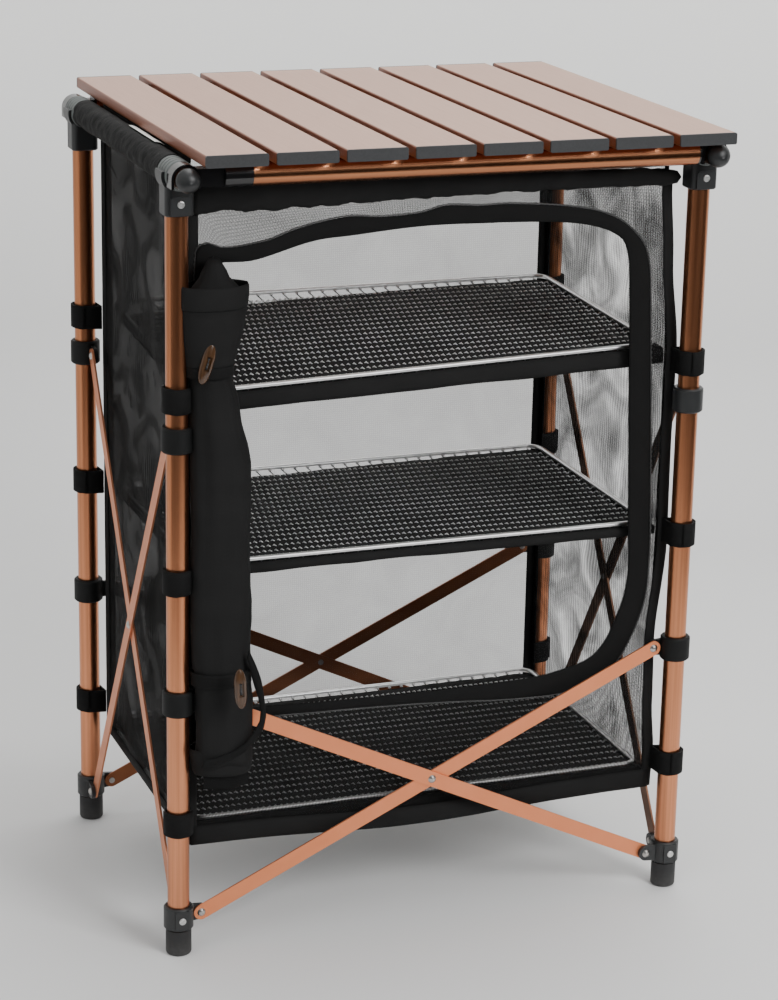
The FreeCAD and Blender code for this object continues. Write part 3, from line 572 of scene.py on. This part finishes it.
def sheet_from_rows(name, rows, material, ring=False):
    """A sheet of cloth through rows of points in mm, with a UV map in metres along and across the rows."""
    count = len(rows[0])
    spans = count if ring else count - 1
    faces = [(r * count + c, r * count + (c + 1) % count, (r + 1) * count + (c + 1) % count, (r + 1) * count + c)
             for r in range(len(rows) - 1) for c in range(spans)]
    mesh = bpy.data.meshes.new(name)
    mesh.from_pydata([Vector(point) * MM for row in rows for point in row], [], faces)
    run, rise = [0.0], [0.0]
    for c in range(spans):
        run.append(run[-1] + (Vector(rows[0][(c + 1) % count]) - Vector(rows[0][c])).length * MM)
    for r in range(len(rows) - 1):
        rise.append(rise[-1] + (Vector(rows[r + 1][0]) - Vector(rows[r][0])).length * MM)
    chart = mesh.uv_layers.new(name="cut")
    for index, face in enumerate(mesh.polygons):
        r, c = divmod(index, spans)
        for loop, (u, v) in zip(face.loop_indices, ((c, r), (c + 1, r), (c + 1, r + 1), (c, r + 1))):
            chart.data[loop].uv = (run[u], rise[v])
    mesh.materials.append(material)
    mesh.shade_smooth()
    made = bpy.data.objects.new(name, mesh)
    bpy.context.scene.collection.objects.link(made)
    return made


def thicken(piece, thickness):
    """Gives a sheet its real thickness, half on each side."""
    wall = piece.modifiers.new("wall", "SOLIDIFY")
    wall.thickness, wall.offset, wall.use_even_offset = thickness * MM, 0, False
    pick(piece)
    bpy.ops.object.modifier_apply(modifier="wall")
    return piece


def crinkle(u, v, seed, across=60.0, up=160.0):
    """A loose cloth's unevenness at (u, v) in mm, from -1 to 1."""
    return noise.noise(Vector((u / across, v / up, seed * 7.31)))


def fold_with_frame(piece):
    """Gives the cloth its own copy of its mesh."""
    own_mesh(piece)


WALL_X, WALL_Y, WALL_LOW, WALL_TOP, BACK_TOP = 254.5, 161.2, 108, 790, 776
WAIST = ((108, 1), (150, 2), (205, 5), (275, 4), (320, 0), (384, -1.5), (430, -1), (480, -1.5), (586, -1.5),
         (660, 2), (700, 7), (757, 10), (790, 9))


def evenly(first, last, steps):
    """Evenly spaced numbers from first to last."""
    return [first + (last - first) * k / steps for k in range(steps + 1)]


def along(knots, at, soft=False):
    """The values at a place on a row of knots, each (place, value, ...); soft eases them in and out."""
    for (start, *low), (end, *high) in zip(knots, knots[1:]):
        if at <= end:
            break
    share = min(1, max(0, (at - start) / (end - start)))
    share = share * share * (3 - 2 * share) if soft else share
    return [a + (b - a) * share for a, b in zip(low, high)]


def waist(y, z, across):
    """How far a wall's front part is drawn in at a height, in mm."""
    drawn = along(WAIST, z, soft=True)[0]
    return (drawn if across > 0 else 0.35 * max(0, drawn)) * max(0, -y / WALL_Y) ** 2


# Each wall's fold depth is painted shade in its folds, and its glint colour a painted sheen.
back_net = netting("black net, back", 0.21, 0.03, 0.02, "#101010", "#181818")
side_net = netting("black net, left side", 0.83, 0.06, 0.15, "#0C0C0C", "#181818", ripple=0.05)
far_net = netting("black net, right side", 0.40, 0.06, 0.24, "#101010", "#202020", ripple=0.11)
STEPS = 48
rows = [[(x, WALL_Y + 2.0 * crinkle(x, z, 1) - 1, z) for x in evenly(-WALL_X, WALL_X, STEPS)]
        for z in evenly(WALL_LOW, BACK_TOP, STEPS)]
back_wall = thicken(sheet_from_rows("net_back", rows, back_net), 0.4)
walls = [back_wall]
for side, across, net in (("left", -1, side_net), ("right", 1, far_net)):
    rows = []
    for z in evenly(WALL_LOW, WALL_TOP, STEPS):
        row = []
        for c, y in enumerate(evenly(-WALL_Y, WALL_Y, STEPS)):
            loose = 4.2 * crinkle(y, z, across + 3, 44, 150) + 1.8 * crinkle(y + 0.6 * z, z, across + 5, 26, 80)
            hold = min(1, 8 * min(c, STEPS - c) / STEPS)
            row.append((across * (WALL_X - 2.2 + hold * (loose - 0.5) - waist(y, z, across)), y, z))
        rows.append(row)
    walls.append(thicken(sheet_from_rows(f"net_{side}", rows, net), 0.4))
for wall, size in zip(walls, ((0.509, 0.668), (0.322, 0.682), (0.322, 0.682))):
    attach(wall, "front_frame")
    fold_with_frame(wall)
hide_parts("mesh_walls")

# ---- Bindings of the net walls ----
# Black grosgrain tape folded over every edge of the net and stitched down.
def woven(name, dark, light, thread, rough=0.8, bump_share=0.35):
    """Plain-woven black polyester; the thread is drawn coarser than its 0.4 mm so that it shows."""
    made, tree, shader = start_material(name, {"Roughness": rough, "Specular IOR Level": 0.22})
    cut = add(tree, "ShaderNodeTexCoord").outputs["UV"]
    weave = reckon(tree, "MULTIPLY", *thread_waves(tree, cut, thread * MM))
    wear = add(tree, "ShaderNodeTexNoise", {"Vector": cut, "Scale": 30.0, "Detail": 4.0}).outputs["Fac"]
    paint(tree, shader, reckon(tree, "MULTIPLY_ADD", weave, 0.25, wear), dark, light)
    roughen(tree, shader, weave, bump_share, 0.0003)
    return made


grosgrain = woven("black grosgrain binding", "#0B0B0B", "#161616", 1.2)
BINDING = 11.0


def frame_rows(points_at, low_a, high_a, low_b, high_b, width):
    """Three closed rows round a rectangle: outer edge, a raised middle and the inner edge."""
    rows = []
    for inset, proud in ((0, 0), (width / 2, 1), (width, 0)):
        loop = []
        corners = ((low_a + inset, low_b + inset), (high_a - inset, low_b + inset),
                   (high_a - inset, high_b - inset), (low_a + inset, high_b - inset))
        for (a, b), (next_a, next_b) in zip(corners, corners[1:] + corners[:1]):
            loop += [points_at(a + (next_a - a) * k / 24, b + (next_b - b) * k / 24, proud) for k in range(24)]
        rows.append(loop)
    return rows


edges = [("binding_back", frame_rows(lambda a, b, p: (a, WALL_Y - 1.5 - 0.5 * p + 0.8 * crinkle(a, b, 1), b),
                                     -WALL_X, WALL_X, WALL_LOW, BACK_TOP, BINDING))]
for side, across in (("left", -1), ("right", 1)):
    edges.append((f"binding_{side}", frame_rows(
        lambda a, b, p, across=across: (across * (WALL_X - 1.4 + 0.6 * p - waist(a, b, across)), a, b),
        -WALL_Y + 1, WALL_Y - 1,
        WALL_LOW, WALL_TOP, BINDING)))
for name, rows in edges:
    binding = thicken(sheet_from_rows(name, rows, grosgrain, ring=True), 1.0)
    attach(binding, "front_frame")
    fold_with_frame(binding)

# ---- Front surround ----
# The front net with the door opening.  A black zip tape follows the opening,
# its teeth on the outer edge, and hems close the top, the sides and the foot.
# The front net's fold depth is painted shade in its folds, and its glint colour a painted sheen.
front_net = netting("black net, front", 0.30, 0.07, 0.03, "#101010", "#1A1A1A")
FRONT_Y = -161.5
OPENING = ((-232, 700), (-188, 704), (-131, 719), (-88, 723), (-21, 728), (30, 728), (103, 726), (153, 721),
           (186, 710), (201, 692), (206, 640), (210, 537), (216, 400), (218, 350), (209, 309), (185, 266),
           (138, 250), (81, 246), (14, 245), (-70, 246), (-160, 248), (-226, 250), (-236, 270), (-236, 480),
           (-236, 660))
TAPE_EDGE = ((-240, 722), (-217, 717), (-176, 722), (-142, 733), (-96, 741), (-61, 739), (-21, 741), (6, 747),
             (41, 745), (78, 745), (139, 739), (177, 730), (205, 713), (224, 683), (230, 610), (234, 535),
             (239, 430), (241, 363), (235, 309), (209, 255), (174, 234), (139, 226), (82, 227), (14, 232),
             (-52, 235), (-160, 238), (-232, 238), (-247, 262), (-247, 480), (-247, 690))
DOOR_MID = Vector((-10, 485))


def smooth_loop(knots, steps_between=8):
    """A smooth closed line through the knots."""
    line = []
    for k in range(len(knots)):
        p0, p1, p2, p3 = (Vector(knots[(k + j) % len(knots)]) for j in (-1, 0, 1, 2))
        for step in range(steps_between):
            t = step / steps_between
            line.append(0.5 * (2 * p1 + (p2 - p0) * t + (2 * p0 - 5 * p1 + 4 * p2 - p3) * t * t
                               + (3 * p1 - p0 - 3 * p2 + p3) * t ** 3))
    return line


def line_at(loop, turn):
    """Where a ray from the middle of the door meets a closed line."""
    ray = Vector((math.cos(turn), math.sin(turn)))
    best = 0.0
    for a, b in zip(loop, loop[1:] + loop[:1]):
        a, span = a - DOOR_MID, b - a
        cross = ray.x * span.y - ray.y * span.x
        if abs(cross) > 1e-9:
            reach, share = (a.x * span.y - a.y * span.x) / cross, (a.x * ray.y - a.y * ray.x) / cross
            if -1e-6 <= share <= 1 + 1e-6:
                best = max(best, reach)
    return DOOR_MID + best * ray


SIDE_RIGHT = ((108, 250), (150, 252), (205, 248), (275, 247), (384, 256), (480, 255), (586, 256), (680, 247),
              (757, 242))
SIDE_LEFT = ((108, 251), (757, 249))


def side_x(z, across):
    """The surround's side edge: it is drawn in between the straps."""
    return across * along(SIDE_RIGHT if across > 0 else SIDE_LEFT, z, soft=True)[0]


SURROUND_LOW, SURROUND_TOP = 112, 762
outer = [Vector((side_x(z, 1), z)) for z in evenly(SURROUND_LOW, SURROUND_TOP, 30)]
outer += [Vector((x, SURROUND_TOP)) for x in evenly(240, -249, 20)[1:-1]]
outer += [Vector((side_x(z, -1), z)) for z in evenly(SURROUND_TOP, SURROUND_LOW, 30)]
outer += [Vector((x, SURROUND_LOW)) for x in evenly(-251, 250, 20)[1:-1]]
opening, tape_edge = smooth_loop(OPENING), smooth_loop(TAPE_EDGE)
AROUND = 320
turns = [2 * math.pi * (k + 0.5) / AROUND for k in range(AROUND)]
inner_line, tape_line, outer_line = ([line_at(loop, turn) for turn in turns]
                                     for loop in (opening, tape_edge, outer))


def between(first, second, share, y_at):
    """A closed row part of the way between two lines."""
    row = []
    for a, b in zip(first, second):
        x, z = a + (b - a) * share
        row.append((x, y_at(x, z), z))
    return row


net_rows = [between(inner_line, outer_line, share / 10,
                    lambda x, z, share=share: FRONT_Y + 0.16 * share * crinkle(x, z, 11, 40, 50))
            for share in range(11)]
surround = thicken(sheet_from_rows("front_net", net_rows, front_net, ring=True), 0.4)
tape_rows = [between(inner_line, tape_line, share,
                     lambda x, z, share=share: FRONT_Y - 1.6 - 1.6 * math.sin(math.pi * share)
                     + 0.8 * crinkle(x, z, 12, 30, 30)) for share in (0, 0.12, 0.3, 0.5, 0.7, 0.88, 1)]
tape_cloth = woven("black zip tape", "#060606", "#0C0C0C", 1.0)
tape = thicken(sheet_from_rows("zip_tape", tape_rows, tape_cloth, ring=True), 1.2)
moulded_teeth = speckled("black nylon zip teeth", {"Roughness": 0.3, "IOR": 1.53}, "#161616", "#3C3C3C", 400.0)
TOOTH_PITCH = 2.4
coil = []
for k in range(AROUND):
    a, b = tape_line[k], tape_line[(k + 1) % AROUND]
    count = max(1, round((b - a).length / TOOTH_PITCH))
    for step in range(count):
        x, z = a + (b - a) * step / count
        nudge = 1.4 if len(coil) % 2 else 0.4
        outward = (Vector((x, z)) - DOOR_MID).normalized() * nudge
        coil.append(Vector((x + outward.x, FRONT_Y - 1.6 - 0.6 * (len(coil) % 2), z + outward.y)))
teeth = joined_mesh("zip_teeth", [wire_along(coil, 0.9, 5, closed=True)], moulded_teeth)
for piece, name in ((surround, "mesh"), (tape, "webbing"), (teeth, "webbing")):
    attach(piece, "front_frame")


def ribbon(name, spine, width, material, y, lean=(1, 0), bulge=1.2, rows_across=4):
    """A flat band in the front plane along points (x, z), its width along lean."""
    rows = []
    for r in range(rows_across + 1):
        share = r / rows_across - 0.5
        rows.append([(x + lean[0] * width * share, y - bulge * math.cos(math.pi * share)
                      + 0.6 * crinkle(x, z, 21, 30, 30), z + lean[1] * width * share) for x, z in spine])
    return thicken(sheet_from_rows(name, rows, material), 1.0)


heights = evenly(SURROUND_LOW - 3, SURROUND_TOP - 3, 50)
side_bands = [ribbon(f"front_binding_{side}", [(side_x(z, across), z) for z in heights], 11, grosgrain,
                     FRONT_Y - 0.4) for side, across in (("left", -1), ("right", 1))]
foot_hem = ribbon("front_foot_hem", [(-252 + 504 * k / 60, 118 + 3.5 * math.sin(k / 60 * math.pi) *
                                      math.cos(k / 9.0) - 5 * math.sin(k / 60 * math.pi)) for k in range(61)],
                  20, grosgrain, FRONT_Y - 1.2, lean=(0, 1), bulge=2.0)
oxford = woven("black oxford cloth", "#0C0C0C", "#181818", 1.4)
HEM_SECTIONS = ((-249, 772, 19, 5), (-200, 771, 20, 6), (-140, 770, 17, 5), (-60, 769, 14, 5), (20, 768, 12, 5),
                (110, 767, 10, 5), (190, 766, 9, 5), (240, 765, 9, 5), (252, 764, 6, 4), (255, 764, 1, 1))
rows = []
for x in evenly(-249, 255, 119):
    mid, half, deep = along(HEM_SECTIONS, x)
    ring = []
    for step in range(20):
        turn = 2 * math.pi * step / 20
        swell = 1 + 0.16 * noise.noise(Vector((x / 16, turn * 0.9, 3.3)))
        swell += 0.1 * noise.noise(Vector((x / 5, turn, 9)))
        ring.append((x, FRONT_Y - 3.5 + deep * swell * math.cos(turn), mid + half * swell * math.sin(turn)))
    rows.append(ring)
top_hem = sheet_from_rows("front_top_hem", rows, oxford, ring=True)
pick(top_hem)
bpy.ops.object.mode_set(mode="EDIT")
bpy.ops.mesh.select_all(action="DESELECT")
bpy.ops.mesh.select_non_manifold()
bpy.ops.mesh.edge_face_add()
bpy.ops.mesh.select_all(action="SELECT")
bpy.ops.mesh.normals_make_consistent(inside=False)
bpy.ops.object.mode_set(mode="OBJECT")
for piece in (*side_bands, foot_hem, top_hem):
    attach(piece, "front_frame")
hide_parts("front_surround")

# ---- Cloth tiers ----
# A black oxford tray under each wire shelf, sewn to the walls.  It stops short
# of the back wall, and its turned-down front edge shows under the shelf wire.
TIER_BAND = {"top": 17, "mid": 9, "low": 22}
TIER_BACK = {"top": ((-252, 108), (-120, 116), (0, 126), (100, 134), (252, 140)),
             "mid": ((-252, 122), (-60, 128), (60, 136), (160, 140), (252, 142)),
             "low": ((-252, 134), (0, 138), (252, 142))}
for level, z in SHELF_Z.items():
    lying, front, band = z - 3.6, -151.5, TIER_BAND[level]
    rows = []
    for r in range(44):
        row = []
        for x in evenly(-251.5, 251.5, 80):
            rear = along(TIER_BACK[level], x)[0]
            rear += 3 * crinkle(x, 0, z, 25) + 1.6 * crinkle(x, 50, z, 7)
            if r < 4:
                drop = band * (1 - r / 4)
                row.append((x, front - 1.2 * math.sin(r * 0.8) + 0.8 * crinkle(x, drop * 4, z, 30),
                            lying - 0.2 - drop + 1.4 * crinkle(x, 9, z, 70) * (1 - r / 4)))
            else:
                y = front + (rear - front) * (r - 4) / 39
                inside = min(1, max(0, min(241 - abs(x), y + 143) / 6))
                row.append((x, y, lying - 0.8 + 1.7 * inside + 0.35 * crinkle(x, y, z, 40, 40)))
        rows.append(row)
    tier = thicken(sheet_from_rows(f"tier_{level}", rows, oxford), 0.8)
    tilt_shelf(tier, level)
    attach(tier, "front_frame")
    fold_with_frame(tier)
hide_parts("cloth_tiers")

# ---- Rail sleeves and care tag ----
# Oxford sleeves sewn to the tops of the side walls, slack and wrinkled round
# the side rails, with a bare white satin tag stitched in on the left.
SLEEVE_R, SLEEVE_END, RAIL_X, RAIL_Z = 13.3, 162.5, 269, 793.5
for side, across in (("left", -1), ("right", 1)):
    rows = []
    for y in evenly(-SLEEVE_END, SLEEVE_END, 109):
        ring = []
        for step in range(32):
            turn = 2 * math.pi * step / 32
            slack = 1.5 * noise.noise(Vector((y / 14 + across * 9, 2 * math.cos(turn), 2 * math.sin(turn))))
            slack += 1.0 * noise.noise(Vector((y / 4, 3 * math.cos(turn + y / 30), across * 5)))
            gather = 1.3 * max(0, math.cos(turn - math.radians(90 if across > 0 else 80))) ** 2
            reach = SLEEVE_R + max(-1.1, slack * (1 - gather / 2)) + gather
            ring.append((across * RAIL_X + reach * math.cos(turn), y, RAIL_Z + reach * math.sin(turn)))
        rows.append(ring)
    sleeve = thicken(sheet_from_rows(f"sleeve_{side}", rows, oxford, ring=True), 0.8)
    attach(sleeve, "front_frame")
# The wall's seam lip stands up beside each sleeve, under the outer slat.
for side, across in (("left", -1), ("right", 1)):
    rows = [[(across * (251.5 + 0.8 * crinkle(k * 6, r * 8, across + 40, 30, 30)), -164 + 319 * k / 60,
              784 + 21.5 * r / 6) for k in range(61)] for r in range(7)]
    lip = thicken(sheet_from_rows(f"seam_lip_{side}", rows, oxford), 0.8)
    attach(lip, "front_frame")
    fold_with_frame(lip)
satin_tag = woven("white satin tag", "#D8D8D4", "#EFEFEA", 1.0, rough=0.5, bump_share=0.1)
TAG_R, TAG_TURNS = SLEEVE_R + 3.4, [math.radians(88 - k * 9) for k in range(5)]
rows = [[(-RAIL_X + (TAG_R + 0.5 * crinkle(y, k, 2, 20)) * math.cos(turn), y, RAIL_Z + TAG_R * math.sin(turn))
         for y in range(-102, -2, 5)] for k, turn in enumerate(TAG_TURNS)]
care_tag = thicken(sheet_from_rows("care_tag", rows, satin_tag), 0.3)
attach(care_tag, "front_frame")
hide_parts("rail_sleeves")

# ---- Leg straps ----
# Black nylon webbing with hook-and-loop ends, sewn to the corners of the walls
# and closed round the legs at three heights.
webbing = woven("black nylon webbing", "#050505", "#0C0C0C", 1.8)
STRAP_H, STRAP_Z, LEG_X, LEG_Y, STRAP_R = 25, (142, 395, 577), 269, 178, 12.6


def round_leg(across, facing, reach, first, last, steps):
    """Points round a leg at a reach, between two angles in degrees from the corner's own direction."""
    lead = math.atan2(facing, across)
    return [(across * LEG_X + reach * math.cos(lead + turn), facing * LEG_Y + reach * math.sin(lead + turn))
            for turn in map(math.radians, evenly(first, last, steps))]


for side, facing, body in (("front", -1, "front_frame"), ("rear", 1, "rear_frame")):
    straps = []
    for across, hand in ((-1, "left"), (1, "right")):
        corner = (across * (WALL_X + 0.5), facing * (WALL_Y + 1.5))
        path = [corner, *round_leg(across, facing, STRAP_R, -120, 120, 32), corner]
        lap = round_leg(across, facing, STRAP_R + 1.7, -60, 120, 18)
        for number, z in enumerate(STRAP_Z):
            rows = [[(x, y, z + STRAP_H * (r / 4 - 0.5) + 0.7 * crinkle(x * 3, y * 3, number + across, 20, 20))
                     for x, y in path] for r in range(5)]
            straps.append(thicken(sheet_from_rows(f"strap_{side}_{hand}_{number + 1}", rows, webbing), 1.5))
            rows = [[(x, y, z + 0.6 + STRAP_H * 0.96 * (r / 3 - 0.5)) for x, y in lap] for r in range(4)]
            straps.append(thicken(sheet_from_rows(f"strap_lap_{side}_{hand}_{number + 1}", rows, webbing), 1.3))
    for strap in straps:
        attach(strap, body)
    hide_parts(f"straps_{side}")

# ---- Rolled door ----
# The net door with its oxford border, unzipped and rolled up on the left of the
# opening, held by two ties with toggles and tucked under a stitched cuff.
DOOR_TURNS, ROLL_SEGMENTS, ROLL_ROWS = 4.4, 44, 84
ROLL_TOP, ROLL_FOOT = 712, 204
ROLL_SECTIONS = ((ROLL_FOOT, -227, -187, 29, 18), (262, -226, -188, 30, 18.4), (297, -228, -188, 28, 18),
                 (318, -229, -186, 29.6, 18.2), (350, -228.4, -184, 31.4, 18.2), (500, -229, -183, 30.5, 18.2),
                 (570, -235, -183, 24.5, 18.2), (607, -239, -183, 20.5, 17), (655, -235, -183, 28, 18.2),
                 (676, -234, -183, 28, 17), (700, -234, -182, 12, 10), (ROLL_TOP, -234, -182, 5, 5))


def roll_section(z):
    """Middle and half sizes of the roll at a height."""
    return along(ROLL_SECTIONS, z, soft=True)


rows = []
for r in range(ROLL_ROWS + 1):
    z = ROLL_TOP + (ROLL_FOOT - ROLL_TOP) * r / ROLL_ROWS
    mid_x, mid_y, half_x, half_y = roll_section(z)
    row = []
    for step in range(int(DOOR_TURNS * ROLL_SEGMENTS) + 1):
        turn = 2 * math.pi * step / ROLL_SEGMENTS
        share = 0.3 + 0.7 * step / (DOOR_TURNS * ROLL_SEGMENTS)
        uneven = 1 + 0.06 * noise.noise(Vector((2 * math.cos(turn), 2 * math.sin(turn), z / 42)))
        uneven += 0.07 * noise.noise(Vector((2.6 * math.cos(turn), 2.6 * math.sin(turn), 9 + z / 150)))
        uneven += 0.03 * noise.noise(Vector((5 * math.cos(turn), 5 * math.sin(turn), z / 13)))
        row.append((mid_x + half_x * share * uneven * math.cos(turn - 2.6),
                    mid_y + half_y * share * uneven * math.sin(turn - 2.6),
                    z + 5 * noise.noise(Vector((math.cos(turn), math.sin(turn), 4))) * (r / ROLL_ROWS)))
    rows.append(row)
roll_cloth = woven("black door cloth", "#0B0B0B", "#171717", 1.3)
door = thicken(sheet_from_rows("door_rolled", rows, roll_cloth), 0.8)
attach(door, "front_frame")
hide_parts("door_roll")


def hoop(mid_x, mid_y, half_x, half_y, height, steps):
    """A closed row of points round the roll; height gives the height of each."""
    return [(mid_x + half_x * math.cos(2 * math.pi * k / steps),
             mid_y + half_y * math.sin(2 * math.pi * k / steps), height(k)) for k in range(steps)]


def band_round_roll(name, low, high, grow, material):
    """A closed band round the roll between two heights."""
    rows = []
    for r, z in enumerate(evenly(low, high, 4)):
        mid_x, mid_y, half_x, half_y = roll_section(z)
        rows.append(hoop(mid_x, mid_y, half_x + grow, half_y + grow,
                         lambda k: z + 0.7 * crinkle(k * 6, r * 9, low, 30), 48))
    return thicken(sheet_from_rows(name, rows, material, ring=True), 1.2)


def cup(name, levels, material):
    """A slack open band hung round the roll; levels are (height, middle x, half width, half depth)."""
    rows = [hoop(mid_x, -183, half_x, half_y, lambda k: z + 1.2 * crinkle(k * 5, z, half_x, 40), 56)
            for z, mid_x, half_x, half_y in levels]
    return thicken(sheet_from_rows(name, rows, material, ring=True), 1.2)


cuff = cup("door_cuff", ((688, -234.5, 33, 20), (686, -234.5, 34, 21), (678, -234.5, 34, 21.4),
                         (668, -235, 33.4, 21.4), (666, -235, 32.6, 20.6)), oxford)
pocket = cup("door_pocket", ((667, -235, 32.2, 20.2), (650, -235.5, 31, 20), (634, -237, 28.5, 19.6),
                             (620, -238.5, 25, 19), (609, -239, 23, 18.4), (604, -239, 22, 18)), roll_cloth)
foot_cuff = cup("door_foot_cuff", ((222, -227, 30.5, 19.6), (218, -227, 32, 20.6), (206, -226, 31, 20.4),
                                   (198, -225.5, 29.5, 19.6), (195, -225, 28.5, 19)), oxford)
flap_rows = [[(-248 + 46 * c / 16 + 1.5 * crinkle(c * 8, r * 6, 31, 30),
               -193 + 1.5 * crinkle(c * 9, r * 5, 32, 30), 198 - 4.4 * r - 2.2 * math.sin(c / 5))
              for c in range(17)] for r in range(5)]
foot_flap = thicken(sheet_from_rows("door_foot_flap", flap_rows, side_net), 0.4)
ties = [band_round_roll("door_tie_upper", 600, 611, 2.6, webbing),
        band_round_roll("door_tie_lower", 290, 304, 1.8, webbing)]
LOOP = ((-206, 322), (-201, 310), (-195, 292), (-190, 273), (-187, 256), (-189, 244), (-196, 235), (-207, 226),
        (-222, 218), (-240, 213), (-252, 213))
LOOP_MIDDLE, LOOP_HALF_W = Vector((-214, 288)), 4.2
loop_rows = []
for r in range(3):
    row = []
    for spot in evenly(0, len(LOOP) - 1, 59):
        x, z = along([(number, *point) for number, point in enumerate(LOOP)], spot)
        away = (Vector((x, z)) - LOOP_MIDDLE).normalized() * (r - 1) * LOOP_HALF_W
        row.append((x + away.x, -205.5 - (0.8 if r == 1 else 0) + 9 * max(0, x + 206) / 19, z + away.y))
    loop_rows.append(row)
pull_loop = thicken(sheet_from_rows("door_loop", loop_rows, webbing), 1.4)
for piece in (cuff, pocket, foot_cuff, foot_flap, *ties, pull_loop):
    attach(piece, "front_frame")

# ---- Toggles ----
# Turned horn-brown buttons with two drilled holes, polished, each tied on with
# a black cord.  The upper one hangs at a slant, as its cord pulls on one side.
horn, tree, shader = start_material("polished brown horn", {"Roughness": 0.22, "IOR": 1.55})
paint(tree, shader, speck(tree, 1.0, 3.0, (520, 520, 70), 0.6), "#523822", "#1E120A")
TOGGLE_HALF, TOGGLE_HALF_W, TOGGLE_HALF_T, HOLE_R, HOLE_GAP = 22 * MM, 6.2 * MM, 4.2 * MM, 1.3 * MM, 5 * MM
RECESS_W, RECESS_D = 5.2 * MM, 4.8 * MM
for name, lean, body in (("upper", 16, "upper_toggle"), ("lower", -3, "lower_toggle")):
    low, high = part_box(f"toggle_{name}")
    middle = (low + high) / 2
    bpy.ops.mesh.primitive_uv_sphere_add(segments=28, ring_count=22, radius=1)
    button = bpy.context.object
    button.name = f"toggle_button_{name}"
    button.scale = (TOGGLE_HALF_W, TOGGLE_HALF_T, TOGGLE_HALF)
    bpy.ops.object.transform_apply()
    for corner in button.data.vertices:
        share = abs(corner.co.z) / TOGGLE_HALF
        corner.co.x *= 1 + 0.25 * share * (1 - share)
        corner.co.z *= 1 - 0.06 * share ** 4
    for side in (-1, 1):
        bpy.ops.mesh.primitive_cylinder_add(vertices=16, radius=HOLE_R, depth=4 * TOGGLE_HALF_T,
                                            location=(0, 0, side * HOLE_GAP), rotation=(math.pi / 2, 0, 0))
        cut_away(button, bpy.context.object)
    bpy.ops.mesh.primitive_cube_add(size=1, location=(0, -TOGGLE_HALF_T, 0))
    recess = bpy.context.object
    recess.scale = (RECESS_W, RECESS_D, 2.9 * HOLE_GAP)
    cut_away(button, recess)
    button.data.materials.append(horn)
    button.data.shade_smooth()
    smooth_below(button, 40)
    points = [Vector((0, y, z)) for y, z in ((4.6, -5), (0, -5), (-2.2, -4.6), (-2.4, 0), (-2.2, 4.6), (0, 5),
                                             (4.6, 5))]
    tie_cord = joined_mesh(f"toggle_cord_{name}", [wire_along(points, 1.0, 8)], braid)
    turn = Matrix.Rotation(math.radians(lean), 4, "Y")
    for piece, slot_name in ((button, "toggle"), (tie_cord, "elastic")):
        piece.data.transform(Matrix.Translation(middle) @ turn)
        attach(piece, body)
    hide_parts(f"toggle_{name}")

# ---- Zip sliders and pull cords ----
# Two die-cast sliders parked at the top of the roll, with thin black cord pulls.
for number, (x, z, tilt) in enumerate(((-229, 704, 25), (-222, 694, -20))):
    bpy.ops.mesh.primitive_cube_add(size=1, location=(0, 0, 0))
    slider = bpy.context.object
    slider.name = f"zip_slider_{number + 1}"
    slider.scale = (7 * MM, 3.4 * MM, 10 * MM)
    bpy.ops.object.transform_apply()
    open_where(slider, "polygons", lambda face: face.normal.z < -0.5)
    bpy.ops.mesh.extrude_region_move(TRANSFORM_OT_translate={"value": (0, 0, -4 * MM)})
    bpy.ops.transform.resize(value=(0.55, 0.6, 1))
    bpy.ops.mesh.select_all(action="SELECT")
    bpy.ops.mesh.bevel(offset=0.8 * MM, segments=2)
    bpy.ops.object.mode_set(mode="OBJECT")
    slider.data.materials.append(zinc)
    smooth_below(slider, 40)
    tipped = Matrix.Rotation(math.radians(tilt), 4, "Y")
    slider.data.transform(Matrix.Translation((x * MM, (FRONT_Y - 6) * MM, z * MM)) @ tipped)
    reach = [Vector((x + 3 * math.sin(k * 0.5), FRONT_Y - 8 - 8 * math.sin(k * 0.35), z - 5 - k * 2.6))
             for k in range(9)]
    reach += [Vector((p.x - 2.6, p.y - 0.6, p.z)) for p in reach[::-1]]
    pull = joined_mesh(f"zip_pull_{number + 1}", [wire_along(reach, 0.7, 6)], braid)
    for piece in (slider, pull):
        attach(piece, "front_frame")
